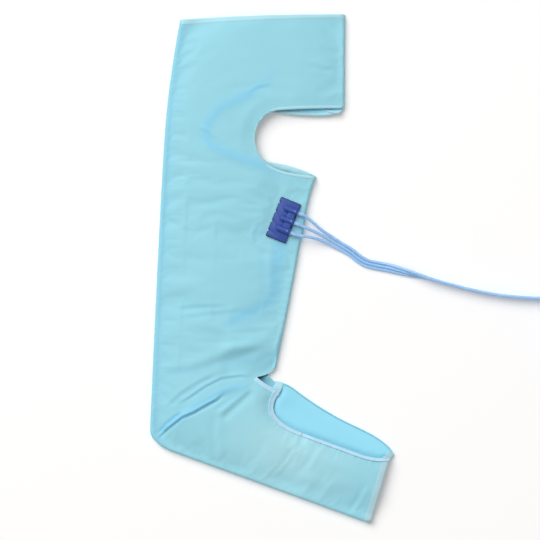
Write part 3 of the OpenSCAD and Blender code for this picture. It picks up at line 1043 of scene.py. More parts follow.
@dataclass
class HoseSet:
    """Three hoses from the port block to a plug: side by side, then on edge, then wound up.

    Sizes are in millimetres and angles in degrees. A route's points are listed.
    """

    plate: Plate = Plate()
    diameter: float = 5.2
    pitch: float = 5.5
    run_pitch: float = 5.2
    run_flat: int = 8
    z_port: float = 19.0
    ports: tuple[float, float, float] = (20.0, 2.5, -15.0)
    sleeve_l: float = 12.0
    sleeve_d: float = 6.8
    coil_mid: Point = (520.0, -109.0)
    coil_r: float = 60.0
    coil_step: float = 5.9
    coil_lift: float = 1.2
    coil_turn: float = 15.0
    winding: float = 450.0
    lead_l: float = 24.0
    plug_l: float = 26.0
    plug_w: float = 12.0
    plug_corner: float = 2.4
    plug_ribs: int = 5
    rib_pitch: float = 3.6
    nozzle_r: float = 2.0
    nozzle_l: float = 9.0
    tie_w: float = 12.0
    tie_t: float = 0.5
    tie_corner: float = 0.6
    tie_lap: int = 9
    fans: tuple = (
        ((68, 78, 15.6), (82, 66, 10), (97, 56, 5.4), (114, 45, 2.6)),
        ((61, 67, 17.2), (75, 60.5, 12.6), (90, 52.5, 7.2), (110, 41.5, 3)),
        ((57, 54.5, 17.6), (71, 51.5, 13.4), (85, 46.5, 8.2), (106, 36, 3)),
    )
    run: tuple = (
        (132, 28), (146, 17), (159, 10), (176, 6), (194, 2.5), (214, -2.5), (234, -8),
        (255, -13.5), (276, -19.5), (300, -26), (325, -32.5), (350, -38), (375, -42.5),
        (400, -45.5), (425, -47.5), (450, -48.5), (475, -49), (500, -49), (514, -49),
    )
    turns: tuple = (0, 0, 0, 0, 10, 30, 55, 80) + (90,) * 11
    lifts: tuple = (0,) * 15 + (0.3, 0.8, 1.2, 1.2)
    pieces: dict[str, Piece] = field(default_factory=dict)

    def at_port(self, x: float, y: float) -> Array:
        """A place x out from the plate's front edge, at a port's height."""
        return np.array([*self.plate.spot(self.plate.width / 2 + x, y), self.z_port])

    def outwards(self) -> Array:
        """Direction in which the ports point."""
        return np.array([*self.plate.axes[0], 0.0])

    def coil_z(self, k: int) -> float:
        """Height of hose k in the coil."""
        return self.diameter / 2 + self.coil_lift + (2 - k) * self.pitch

    def core_r(self) -> float:
        """Radius where the coil's winding ends."""
        return self.coil_r - self.coil_step * self.winding / 180.0

    def route(self, k: int) -> Array:
        """The whole route of one hose.

        Args:
            k: Number of the hose, 0 at the top port.

        Returns:
            Points from the port to the plug, in millimetres.
        """
        points = [tuple(self.at_port(x, self.ports[k])) for x in (0.0, self.sleeve_l)]
        points += [tuple(p) for p in self.fans[k]]
        line = np.array(self.run, float)
        for i, (at, left) in enumerate(zip(line, left_of(line))):
            side = (1 - k) * (self.run_pitch if i < self.run_flat else self.pitch)
            turn = math.radians(self.turns[i])
            flat = at + side * math.cos(turn) * left
            rise = self.diameter / 2 + self.lifts[i] + (self.pitch + side) * math.sin(turn)
            points.append((*flat, rise))
        mid, core = np.array(self.coil_mid), self.core_r()
        wound = []
        for a in np.radians(np.arange(0.0, self.winding + 1, self.coil_turn)):
            r = self.coil_r - self.coil_step * a / math.pi
            wound.append(mid + r * np.array([math.sin(a), math.cos(a)]))
        back = list(arc(mid + [core / 2, 0.0], core / 2, 0.0, -180.0, 10)[1:])
        on = list(arc(mid - [core / 2, 0.0], core / 2, 0.0, 180.0, 10)[1:])
        out = [2 * mid - p for p in wound[::-1]][1:]
        flat_coil = wound + back + on + out + [mid + [self.lead_l, -self.coil_r]]
        points += [(*p, self.coil_z(k)) for p in flat_coil]
        return np.array(points)

    def make_hose(self, k: int, finish: Material) -> tuple[Piece, float]:
        """One hose as a curve of one open spline.

        Args:
            k: Number of the hose.
            finish: Material of the tube.

        Returns:
            The curve object, and its length in metres.
        """
        route = self.route(k) * MM
        curve = bpy.data.curves.new(f"hose_line_{k + 1}", "CURVE")
        curve.dimensions = "3D"
        curve.bevel_depth = self.diameter / 2 * MM
        curve.bevel_resolution = 3
        curve.resolution_u = 5
        curve.use_fill_caps = True
        spline = curve.splines.new("BEZIER")
        spline.bezier_points.add(len(route) - 1)
        for point, place in zip(spline.bezier_points, route):
            point.co = place
            point.handle_left_type = point.handle_right_type = "AUTO"
        curve.materials.append(finish)
        length = float(np.linalg.norm(np.diff(route, axis=0), axis=1).sum())
        return placed(curve.name, curve), length

    def make_sleeves(self, finish: Material) -> Piece:
        """The three soft sleeves on the hoses' first ends, tapered towards the hose.

        Args:
            finish: Material of the sleeves.

        Returns:
            The new object.
        """
        n, full, thin = self.sleeve_l, self.sleeve_d / 2, self.diameter / 2 + 0.05
        profile = [
            (-2.0, thin), (-2.0, full - 0.3), (0.0, full), (n - 5, full), (n - 1.6, full - 0.35),
            (n - 0.4, full - 0.75), (n, full - 0.95), (n, thin),
        ]
        parts = [
            lathe(f"sleeve_{y}", profile, self.at_port(0.0, y), self.outwards(), finish)
            for y in self.ports
        ]
        return joined("hose_end_sleeves", parts)

    def make_plug(self, finish: Material) -> Piece:
        """The plug's housing: a rounded block with grip ribs on both sides and a stepped nose.

        Args:
            finish: Material of the moulding.

        Returns:
            The new object.
        """
        x, y = self.coil_mid[0] + self.lead_l, self.coil_mid[1] - self.coil_r
        n, half_z = self.plug_l, (self.coil_z(0) + self.diameter / 2 + self.coil_lift) / 2
        stations = [(0.0, 0.7), (0.5, 0.25), (1.5, 0.0)]
        for i in range(self.plug_ribs):
            at = 5.0 + i * self.rib_pitch
            stations += [(at - 0.9, 0.0), (at - 0.45, 0.55), (at + 0.45, 0.55), (at + 0.9, 0.0)]
        stations += [(n - 3.6, 0.0), (n - 3.2, 0.5), (n - 0.8, 0.5), (n - 0.3, 0.8), (n, 1.3)]
        rings = []
        for at, inset in stations:
            w, h = self.plug_w / 2 - inset, half_z - max(0.0, inset - 0.1)
            ring = round_box((-w, -h), (w, h), self.plug_corner, 5)
            rings.append(np.array([(x + at, y + s, half_z + z) for s, z in ring]))
        return skin("plug_housing", rings, finish)

    def make_nozzles(self, finish: Material) -> Piece:
        """The plug's three hollow nozzles, each with a rounded tip.

        Args:
            finish: Material of the moulding.

        Returns:
            The new object.
        """
        x, y = self.coil_mid[0] + self.lead_l + self.plug_l, self.coil_mid[1] - self.coil_r
        r, n = self.nozzle_r, self.nozzle_l
        profile = [
            (-2.0, 0.4), (-2.0, r), (0.3, r), (n - 0.8, r), (n - 0.3, r - 0.15), (n, r - 0.5),
            (n - 0.1, r - 0.85), (n - 6.0, r - 0.9), (n - 6.0, 0.2),
        ]
        ahead = np.array([1.0, 0.0, 0.0])
        parts = [
            lathe(f"nozzle_{k}", profile, np.array([x, y, self.coil_z(k)]), ahead, finish, 20)
            for k in range(3)
        ]
        return joined("plug_nozzle_tubes", parts)

    def make_tie(self, finish: Material) -> Piece:
        """The strap round the coil's turns: a closed band with round corners and a lapped end.

        Args:
            finish: Material of the strap.

        Returns:
            The new object.
        """
        r, lap, half = self.diameter / 2, self.tie_lap, self.tie_w / 2
        low = (self.core_r() - r - 1.6, self.coil_lift - 0.1)
        high = (self.coil_r - self.coil_step / 2 + r + 0.6, self.coil_z(0) + r + 0.2)
        line = round_box(low, high, self.tie_corner, 4)
        line = resampled(np.concatenate([line, line[:1]]), 1.2)
        full = np.concatenate([line, line[1:lap + 1]])
        lift = np.concatenate(
            [np.zeros(len(line) - 3), np.linspace(0.15, 0.55, 4), np.full(lap - 1, 0.55)]
        )
        x, y = self.coil_mid
        rings = []
        for p, q, up in zip(full, -left_of(full), lift):
            a, b = p + q * (up + 0.05), p + q * (up + 0.05 + self.tie_t)
            ring = [(a, -half), (b, -half + 0.3), (b, half - 0.3), (a, half)]
            rings.append(np.array([(x + s[0], y + off, s[1]) for s, off in ring]))
        return skin("coil_strap", rings, finish)

    def build(self, finishes: Finishes) -> None:
        """Args:
            finishes: Materials of the sleeve.
        """
        calf = Motion(Body.CALF)
        for make, finish, slot, node in (
            (self.make_plug, "blue", "moulded_blue", "plug_body"),
            (self.make_nozzles, "blue", "moulded_blue", "plug_nozzles"),
            (self.make_tie, "strap", "tie_strap", "coil_tie"),
            (self.make_sleeves, "sleeve", "hose", "hose_sleeves"),
        ):
            made = make(finishes[finish])
            fasten(made, calf, slot, node)
            self.pieces[made.name] = made
        for k in range(3):
            hose, length = self.make_hose(k, finishes["hose"])
            fasten(hose, calf, "hose", f"hose_{k + 1}", f"hose_coil_{k + 1}")
            tuple(self.route(k)[0] * MM)
            self.pieces[hose.name] = hose


@dataclass
class PortBlock:
    """The moulded block on the calf: a plate, a raised part, three barrels and a sheet under it.

    Sizes are in millimetres.
    """

    hoses: HoseSet
    thickness: float = 4.0
    corner: float = 2.0
    low: float = 13.5
    notch_r: float = 1.9
    notch_gap: float = 70.0 / 4.2
    recess_depth: float = 2.4
    recess_half: Point = (3.8, 3.6)
    raised_x: Point = (3.0, 15.3)
    raised_past: float = 4.4
    raised_corner: float = 2.5
    # Boxes in the gasket's colour in the recesses between the ports: painted shade
    slot_x: Point = (15.0, 17.9)
    slot_l: float = 7.5
    barrel_r: float = 5.2
    barrel_l: float = 20.0
    mouth_r: float = 3.9
    dot_r: float = 0.95
    dot_back: float = 5.4
    dot_up: float = 0.6
    sharp: float = 38.0

    def gaps(self) -> list[float]:
        """Places midway between the ports, the lowest first."""
        ports = sorted(self.hoses.ports)
        return [(a + b) / 2 for a, b in zip(ports, ports[1:])]

    def outline(self) -> Array:
        """The plate's outline, with small notches at its back and a recess between the ports.

        Returns:
            Corners on the plate in millimetres.
        """
        plate, r = self.hoses.plate, self.corner
        w, n = plate.width / 2, plate.length / 2
        line = [arc((w - r, n - r), r, 0, 90, 6), arc((r - w, n - r), r, 90, 180, 6)]
        for i in (1.5, 0.5, -0.5, -1.5):
            line.append(arc((-w, i * self.notch_gap), self.notch_r, 90, -90, 8))
        line += [arc((r - w, r - n), r, 180, 270, 6), arc((w - r, r - n), r, 270, 360, 6)]
        deep, (mouth, floor) = w - self.recess_depth, self.recess_half
        for y in self.gaps():
            recess = [(w, y - mouth), (deep, y - floor), (deep, y + floor), (w, y + mouth)]
            line.append(np.array(recess))
        return np.concatenate(line)

    def inset(self, line: Array, depth: float) -> Array:
        """A closed outline moved inwards.

        Args:
            line: Corners of the outline.
            depth: How far it moves.

        Returns:
            The moved corners.
        """
        ahead = np.roll(line, -1, 0) - line
        behind = line - np.roll(line, 1, 0)
        return line + depth * left_turned(unit(unit(ahead) + unit(behind)))

    def slab(self, name: str, line: Array, levels: list[Point], *materials: Material) -> Piece:
        """A flat piece on the calf whose edge follows an outline.

        Args:
            name: Name of the piece.
            line: Outline on the plate in millimetres.
            levels: How far in the edge lies at each height.
            materials: Material of the face, and of the edge where it has its own.

        Returns:
            The new object.
        """
        spot = self.hoses.plate.spot
        rings = [
            np.array([(*spot(x, y), z) for x, y in self.inset(line, depth)]) for depth, z in levels
        ]
        made = skin(name, rings, *materials)
        # With two materials, faces that don't face up take the second: painted shade on the plate's
        # edge
        for face in made.data.polygons:
            face.material_index = int(len(materials) > 1 and face.normal.z < 0.95)
        return made

    def make_base(self, blue: Material, dark: Material) -> list[Piece]:
        """The plate, whose rolled edge is painted darker as shade, the raised part round the
        barrels, and two boxes painted darker as shade in the recesses between the ports.

        Args:
            blue: Material of the moulding.
            dark: Material of the gasket, here painted shade on the plate's edge and in the
                recesses.

        Returns:
            The new objects.
        """
        low, top = self.low, self.low + self.thickness
        rim = [
            (0.5, low), (0.0, low + 0.5), (0.0, top - 1.4), (0.5, top - 0.7), (1.0, top - 0.25),
            (1.5, top),
        ]
        raised = [(0.0, top - 0.2), (0.0, top + 2.7), (0.3, top + 3.3), (1.0, top + 3.6)]
        (x0, x1), past = self.raised_x, self.raised_past
        y0, y1 = min(self.hoses.ports) - past, max(self.hoses.ports) + past
        box = round_box((x0, y0), (x1, y1), self.raised_corner, 5)
        parts = [
            self.slab("port_plate", self.outline(), rim, blue, dark),
            self.slab("raised", box, raised, blue),
        ]
        # Boxes in the gasket's colour fill the recesses: painted shade
        (x0, x1), half = self.slot_x, self.slot_l / 2
        for y in self.gaps():
            box = round_box((x0, y - half), (x1, y + half), 0.3, 5)
            parts.append(self.slab(f"slot_{y}", box, [(0.0, low), (0.0, top - 1.0)], dark))
        return parts

    def make_barrels(self, blue: Material, pale: Material) -> list[Piece]:
        """Three port barrels with a domed end, a collar, an open mouth and a pale dot.

        Args:
            blue: Material of the barrels.
            pale: Material of the dots.

        Returns:
            The new objects.
        """
        r, n, mouth, width = self.barrel_r, self.barrel_l, self.mouth_r, self.hoses.plate.width
        dome = [(-r * math.cos(t), r * math.sin(t)) for t in np.radians(np.linspace(4, 90, 9))]
        profile = dome + [
            (n - 4.4, r), (n - 4.1, r + 0.1), (n - 3.8, r + 0.45), (n - 0.5, r + 0.45),
            (n - 0.1, r + 0.2), (n, r - 0.2), (n, mouth), (n - 3.0, mouth), (n - 3.0, 0.2),
        ]
        top = self.hoses.z_port + r
        levels = [(0.0, top - 1.2), (0.0, top + 0.15), (0.3, top + 0.3)]
        parts = []
        for y in self.hoses.ports:
            start, ahead = self.hoses.at_port(-n, y), self.hoses.outwards()
            parts.append(lathe(f"barrel_{y}", profile, start, ahead, blue, 36))
            dot = arc((width / 2 - self.dot_back, y + self.dot_up), self.dot_r, 0, 345, 23)
            parts.append(self.slab(f"dot_{y}", dot, levels, pale))
        return parts

    def build(self, finishes: Finishes) -> Piece:
        """Make the block, set it on the calf and dress the sheet under it.

        Args:
            finishes: Materials of the sleeve.

        Returns:
            The block's object.
        """
        # The gasket's colour also paints shade on the plate's edge and in the recesses
        blue, dark = finishes["blue"], finishes["gasket"]
        parts = self.make_base(blue, dark) + self.make_barrels(blue, finishes["sleeve"])
        block = joined("port_block", parts)
        shade_by_angle(block, self.sharp)
        fasten(block, Motion(Body.CALF), "moulded_blue", "manifold_body")
        for node, finish in (("manifold_gasket", dark), ("manifold_flange", blue)):
            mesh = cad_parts[node].data
            mesh.materials.clear()
            mesh.materials.append(finish)
        return block


# Cloth


class Fold(Enum):
    """Shapes that a crease takes across its line."""

    VALLEY = "valley"
    RIDGE = "ridge"
    STEP = "step"


@dataclass(frozen=True)
class Crease:
    """A crease in the near cloth: its line in the shared frame, width and depth in millimetres.

    A step rises to the left of its line. How far a crease takes the bluer shade colour is painted
    shade in the crease and on a step's lower side; in the faint long streaks it is also the cloth's
    real bluish colour.
    """

    line: tuple[Point, ...]
    width: float
    depth: float
    shade_tint: float
    fold: Fold = Fold.STEP
    fade: float = 0.2
    steep: float = 1.6

    def height(self, xy: Array) -> tuple[Array, Array]:
        """What the crease adds to the cloth.

        Args:
            xy: Places of the cloth's points in millimetres.

        Returns:
            Rise of each point in millimetres, and how far painted shade takes it to the shade
            colour.
        """
        dist, side, share = distance_to(xy, np.array(self.line, float))
        ends = smooth(share, 0.0, self.fade) * smooth(1.0 - share, 0.0, self.fade)
        shape = bell(dist, self.width) * ends
        if self.fold is Fold.STEP:
            rise = self.depth * self.steep * side / self.width * shape
            # Painted shade: on a step it falls only on the lower side
            return rise, self.shade_tint * shape * smooth(-side / self.width, -0.7, 0.1)
        if self.fold is Fold.RIDGE:
            return self.depth * shape, self.shade_tint * shape
        return -self.depth * shape, self.shade_tint * shape


# The fourth value of each crease is how far it takes the bluer shade colour: painted shade in the
# crease, and in the faint long streaks a real bluish colour as well
CREASES = (
    Crease(((-194, -286), (-174, -265), (-150, -246), (-129, -237), (-110, -226), (-91, -216),
            (-76, -203)), 3.2, 3.3, 0.7),
    Crease(((-190, -276), (-176, -259), (-160, -246), (-146, -238)), 3.0, 2.6, 0.7, Fold.VALLEY),
    Crease(((-186, -272), (-163, -254), (-123, -226), (-84, -204), (-44, -192), (-28, -186)), 7.0,
           1.8, 0.5, Fold.RIDGE),
    Crease(((-160, -226), (-136, -212), (-110, -194), (-84, -181), (-54, -177), (-28, -178)), 3.5,
           1.3, 0.35),
    Crease(((-180, -232), (-150, -205), (-120, -186), (-90, -172)), 5.0, 0.8, 0.2),
    Crease(((-89, -249), (-54, -217), (-31, -196)), 8.0, 2.3, 0.1),
    Crease(((-30, -188), (-60, -212), (-100, -238)), 4.0, 1.0, 0.3, Fold.VALLEY),
    Crease(((-91, -236), (-92, -280), (-88, -330)), 8.0, 0.9, 0.0),
    Crease(((-200, -171), (-136, -165), (-95, -151), (-61, -135), (9, -131)), 11.0, 1.5, 0.1),
    Crease(((-165, -65), (-120, -61), (-72, -60)), 5.0, 0.6, 0.12),
    Crease(((-158, -80), (-103, -73), (-48, -68)), 6.0, 0.6, 0.1),
    Crease(((14, -40), (-24, -66), (-50, -78), (-82, -96)), 10.0, 0.5, 0.42, Fold.VALLEY),
    Crease(((-10, 40), (-8, 0), (-6, -55)), 9.0, 0.8, 0.15),
    Crease(((17, 66), (11, 22), (5, -18), (-1, -70)), 12.0, 0.7, 0.42, Fold.VALLEY),
    Crease(((-90, -142), (-25, -148), (34, -140)), 26.0, 5.3, 0.15),
    Crease(((-24, 38), (-29, 57), (-16, 78)), 5.0, 0.6, 0.2, Fold.VALLEY),
    Crease(((18, 342), (-9, 311), (-39, 292), (-63, 280), (-86, 268), (-105, 245), (-110, 226),
            (-100, 205), (-81, 196), (-51, 184), (-16, 172), (14, 156), (30, 134)), 8.5, 0.4,
           0.42, Fold.RIDGE),
    Crease(((-122, 236), (-104, 226), (-92, 214)), 4.5, 0.7, 0.1),
    Crease(((-40, 294), (-20, 303), (0, 306)), 4.0, 0.6, 0.2),
    Crease(((-176, 142), (-162, 151), (-144, 158)), 4.5, 0.7, 0.1, Fold.VALLEY),
    Crease(((-182, 93), (-160, 78), (-132, 63)), 6.0, 0.5, 0.1),
    Crease(((58, 342), (80, 338), (104, 331)), 6.0, 0.5, 0.06),
    Crease(((45, -276), (50, -290), (58, -306)), 4.5, 0.7, 0.1, Fold.VALLEY),
    Crease(((82, -290), (72, -308), (56, -334)), 7.0, 0.9, 0.05),
    Crease(((96, -290), (100, -302), (106, -316)), 4.5, 0.6, 0.1, Fold.VALLEY),
    Crease(((159, -356), (146, -382), (128, -412)), 6.0, 1.1, 0.12),
    Crease(((0, -340), (50, -352), (110, -372)), 12.0, 0.8, 0.05),
)


class SurfaceProbe:
    """Finds the height of a surface under a place in the plane."""

    def __init__(self, points: Array, faces: Faces) -> None:
        """Keep a search tree over the surface.

        Args:
            points: Points of the surface in metres.
            faces: Its faces by point numbers.
        """
        self.tree = BVHTree.FromPolygons([tuple(p) for p in points], faces)

    def height(self, xy: Array) -> float:
        """Height under one place, or of the nearest point of the surface.

        Args:
            xy: Place in metres.

        Returns:
            Height in metres.
        """
        hit = self.tree.ray_cast(Vector((xy[0], xy[1], 1.0)), Vector((0.0, 0.0, -1.0)))[0]
        if hit is None:
            hit = self.tree.find_nearest(Vector((xy[0], xy[1], 0.012)))[0]
        return hit.z


def inside(points: Array, loop: Array) -> Array:
    """Which points lie inside a closed outline.

    Args:
        points: Points in the plane.
        loop: Corners of the outline.

    Returns:
        True for each point inside.
    """
    held = np.zeros(len(points), bool)
    x, y = points[:, 0], points[:, 1]
    for (ax, ay), (bx, by) in zip(loop, np.roll(loop, -1, 0)):
        if ay == by:
            continue
        crosses = (ay > y) != (by > y)
        held ^= crosses & (x < (bx - ax) * (y - ay) / (by - ay) + ax)
    return held


def flat_cut(loop: Array, step: float, rim_points: Array | None = None) -> tuple[Array, Faces]:
    """An even triangle mesh over a flat outline.

    Args:
        loop: Corners of the outline, a step apart, in metres.
        step: Spacing of the points in metres.
        rim_points: More points just inside the outline, where the cloth turns down.

    Returns:
        Points in the plane, and triangles that face up.
    """
    low, high = loop.min(0), loop.max(0)
    rows = np.arange(low[1], high[1], step * math.sqrt(3) / 2)
    grid = [
        (x + (step / 2 if i % 2 else 0.0), y)
        for i, y in enumerate(rows)
        for x in np.arange(low[0], high[0], step)
    ]
    grid = np.array(grid)
    grid = grid[inside(grid, loop)]
    closed = np.concatenate([loop, loop[:1]])
    grid = grid[distance_to(grid, closed)[0] > 0.6 * step]
    points = np.concatenate([loop, grid] + ([] if rim_points is None else [rim_points]))
    n = len(loop)
    rim = [(i, (i + 1) % n) for i in range(n)]
    cut = delaunay_2d_cdt([Vector(p) for p in points], rim, [], 1, 1e-7)
    flat = np.array([tuple(v) for v in cut[0]])
    faces = []
    for face in cut[2]:
        a, b, c = (flat[i] for i in face)
        up = (b[0] - a[0]) * (c[1] - a[1]) - (b[1] - a[1]) * (c[0] - a[0]) > 0
        faces.append(tuple(face) if up else tuple(face[::-1]))
    return flat, faces


class StitchRow:
    """Geometry node tree that lays stitches along a line."""

    def __init__(self) -> None:
        """Build the tree with its named sizes."""
        tree = bpy.data.node_groups.new("stitch_row", "GeometryNodeTree")
        bench = NodeBench(tree)
        tree.interface.new_socket("Geometry", in_out="OUTPUT", socket_type="NodeSocketGeometry")
        self.sockets: dict[str, str] = {}
        for label, kind in (
            ("Geometry", "NodeSocketGeometry"), ("Pitch", "NodeSocketFloat"),
            ("Length", "NodeSocketFloat"), ("Thickness", "NodeSocketFloat"),
            ("Material", "NodeSocketMaterial"),
        ):
            socket = tree.interface.new_socket(label, in_out="INPUT", socket_type=kind)
            self.sockets[label] = socket.identifier
        given, out = bench.add("NodeGroupInput"), bench.add("NodeGroupOutput")
        curve = bench.add("GeometryNodeMeshToCurve")
        spots = bench.add("GeometryNodeCurveToPoints", mode="LENGTH")
        turn = bench.add("FunctionNodeAlignRotationToVector", axis="Z")
        bead = bench.add("GeometryNodeMeshUVSphere")
        size = bench.add("ShaderNodeCombineXYZ")
        place = bench.add("GeometryNodeInstanceOnPoints")
        real = bench.add("GeometryNodeRealizeInstances")
        dress = bench.add("GeometryNodeSetMaterial")
        thick = given.outputs["Thickness"]
        for node, values in (
            (curve, {"Mesh": given.outputs["Geometry"]}),
            (spots, {"Curve": curve.outputs[0], "Length": given.outputs["Pitch"]}),
            (turn, {"Vector": spots.outputs["Tangent"]}),
            (bead, {"Segments": 6, "Rings": 4, "Radius": 0.5}),
            (size, {"X": thick, "Y": thick, "Z": given.outputs["Length"]}),
            (place, {"Points": spots.outputs["Points"], "Instance": bead.outputs["Mesh"],
                     "Rotation": turn.outputs["Rotation"], "Scale": size.outputs[0]}),
            (real, {"Geometry": place.outputs["Instances"]}),
            (dress, {"Geometry": real.outputs["Geometry"], "Material": given.outputs["Material"]}),
            (out, {"Geometry": dress.outputs["Geometry"]}),
        ):
            bench.filled(node, values)
        self.tree = tree

    def sew(
        self, name: str, lines: list[Array], finish: Material,
        pitch: float = 3.2, length: float = 2.3, thickness: float = 0.45,
    ) -> Piece:
        """Rows of stitches as one plain mesh.

        Args:
            name: Name of the piece.
            lines: Places of each row in metres.
            finish: Material of the thread.
            pitch: Distance from stitch to stitch in millimetres.
            length: Length of a stitch in millimetres.
            thickness: Thickness of a stitch in millimetres.

        Returns:
            The new object.
        """
        points = np.concatenate(lines)
        edges, first = [], 0
        for line in lines:
            edges += [(first + i, first + i + 1) for i in range(len(line) - 1)]
            first += len(line)
        mesh = bpy.data.meshes.new(name)
        mesh.from_pydata([tuple(p) for p in points], edges, [])
        made = placed(name, mesh)
        rows = made.modifiers.new("stitches", "NODES")
        rows.node_group = self.tree
        for label, value in (
            ("Pitch", pitch * MM), ("Length", length * MM), ("Thickness", thickness * MM),
            ("Material", finish),
        ):
            rows[self.sockets[label]] = value
        plain_mesh(made)
        made.data.shade_smooth()
        return made


@dataclass(frozen=True)
class Trim:
    """A tape folded over a free edge of a layer, in millimetres.

    Over its calm share of the edge it loses some of its width and rise.
    """

    name: str
    edges: tuple[str, ...]
    width: Point
    near: bool
    finish: str
    moves: str
    nodes: tuple[str, ...]
    rise: float = 0.5
    lip: float = 0.8
    ridge: bool = False
    calm: Point = (-3.0, -2.0)
    calm_edge: Point = (0.7, 1.3)
    calm_loss: Point = (0.45, 0.75)
    row: str = ""


TRIMS = (
    Trim("top_hem_near", ("thigh_top",), (5.5, 8.5), True, "hem", "thigh", ("thigh_top_hem_near",),
         0.3, row="thigh_stitches"),
    Trim("top_hem_far", ("thigh_top",), (8, 8), False, "hem", "thigh", ("thigh_top_hem_far",)),
    Trim("knee_hem_near", ("lower_hem_near", "upper_hem_near"), (4.4, 4.0), True, "hem", "knee",
         ("knee_upper_hem_near", "knee_lower_hem_near"), calm=(0.25, 0.62), row="knee_stitches"),
    Trim("knee_hem_far", ("lower_hem_far", "upper_hem_far"), (11, 3), False, "hem", "knee",
         ("knee_upper_hem_far", "knee_lower_hem_far"), 0.7),
    Trim("toe_hem_near_tape", ("toe_foot", "toe_flap"), (10, 10), True, "cuff", "flap",
         ("toe_hem_near", "flap_toe_hem"), 0.8, row="toe_stitches"),
    Trim("toe_hem_far_tape", ("toe_far",), (10, 10), False, "cuff", "foot", ("toe_hem_far",)),
    Trim("ankle_band_tape", ("ankle_line",), (8, 6), True, "binding", "ankle", ("ankle_band",), 0.9,
         ridge=True, row="ankle_stitches"),
    Trim("throat_piping", ("throat",), (4.4, 8.5), True, "binding", "foot", ("throat_binding",),
         1.7, ridge=True),
    Trim("flap_piping", ("flap_edge",), (4.4, 4.4), True, "binding", "flap", ("flap_binding",), 2.0,
         ridge=True),
    Trim("instep_piping_far", ("instep_far",), (2.6, 2.6), False, "lining", "foot",
         ("instep_far_binding",), 0.3, 0.5, row="instep_stitches"),
)


@dataclass
class Layer:
    """One whole layer of cloth, before it is cut into pieces."""

    points: Array
    faces: Faces
    flat: Array
    # Painted shade above 0 and painted paler light below 0, for the material
    fold: Array
    wall: float
    slot: str
    outside_up: bool


# Pieces of each layer from the top down: name, move and the solids they stand for
NEAR_PIECES = (
    ("near_leg_cloth", "knee",
     ("thigh_near_shell", "thigh_near_lining", "thigh_chamber", "thigh_feed_stub",
      "thigh_feed_duct", "calf_near_shell", "calf_near_lining", "calf_chamber")),
    ("near_ankle_cloth", "ankle",
     ("foot_near_shell", "foot_near_lining", "foot_chamber", "foot_feed_duct", "foot_feed_stub")),
    ("near_toe_cloth", "flap", ("flap_shell", "flap_lining")),
)
FAR_PIECES = (
    ("far_leg_cloth", "knee",
     ("thigh_far_shell", "thigh_far_lining", "calf_far_shell", "calf_far_lining")),
    ("far_foot_cloth", "ankle", ("foot_far_shell", "foot_far_lining")),
)
# Settings of the cloth simulation
CLOTH = {
    "quality": 6, "mass": 0.2, "tension_stiffness": 14.0, "compression_stiffness": 14.0,
    "shear_stiffness": 5.0, "bending_stiffness": 0.8, "use_pressure": True,
}
# Gathers along an edge: how many, and their depth and reach in millimetres
PUCKERS = (
    ("throat", 9, 0.5, 13.0), ("flap_edge", 13, 0.6, 12.0), ("ankle_line", 4, 0.4, 10.0),
    ("upper_hem_near", 10, 0.15, 12.0), ("lower_hem_near", 9, 0.25, 12.0),
    ("calf_edge", 21, 0.12, 16.0), ("calf_back", 24, 0.1, 16.0), ("sole", 17, 0.15, 16.0),
    ("thigh_top", 11, 0.1, 18.0), ("toe_foot", 5, 0.3, 14.0),
)


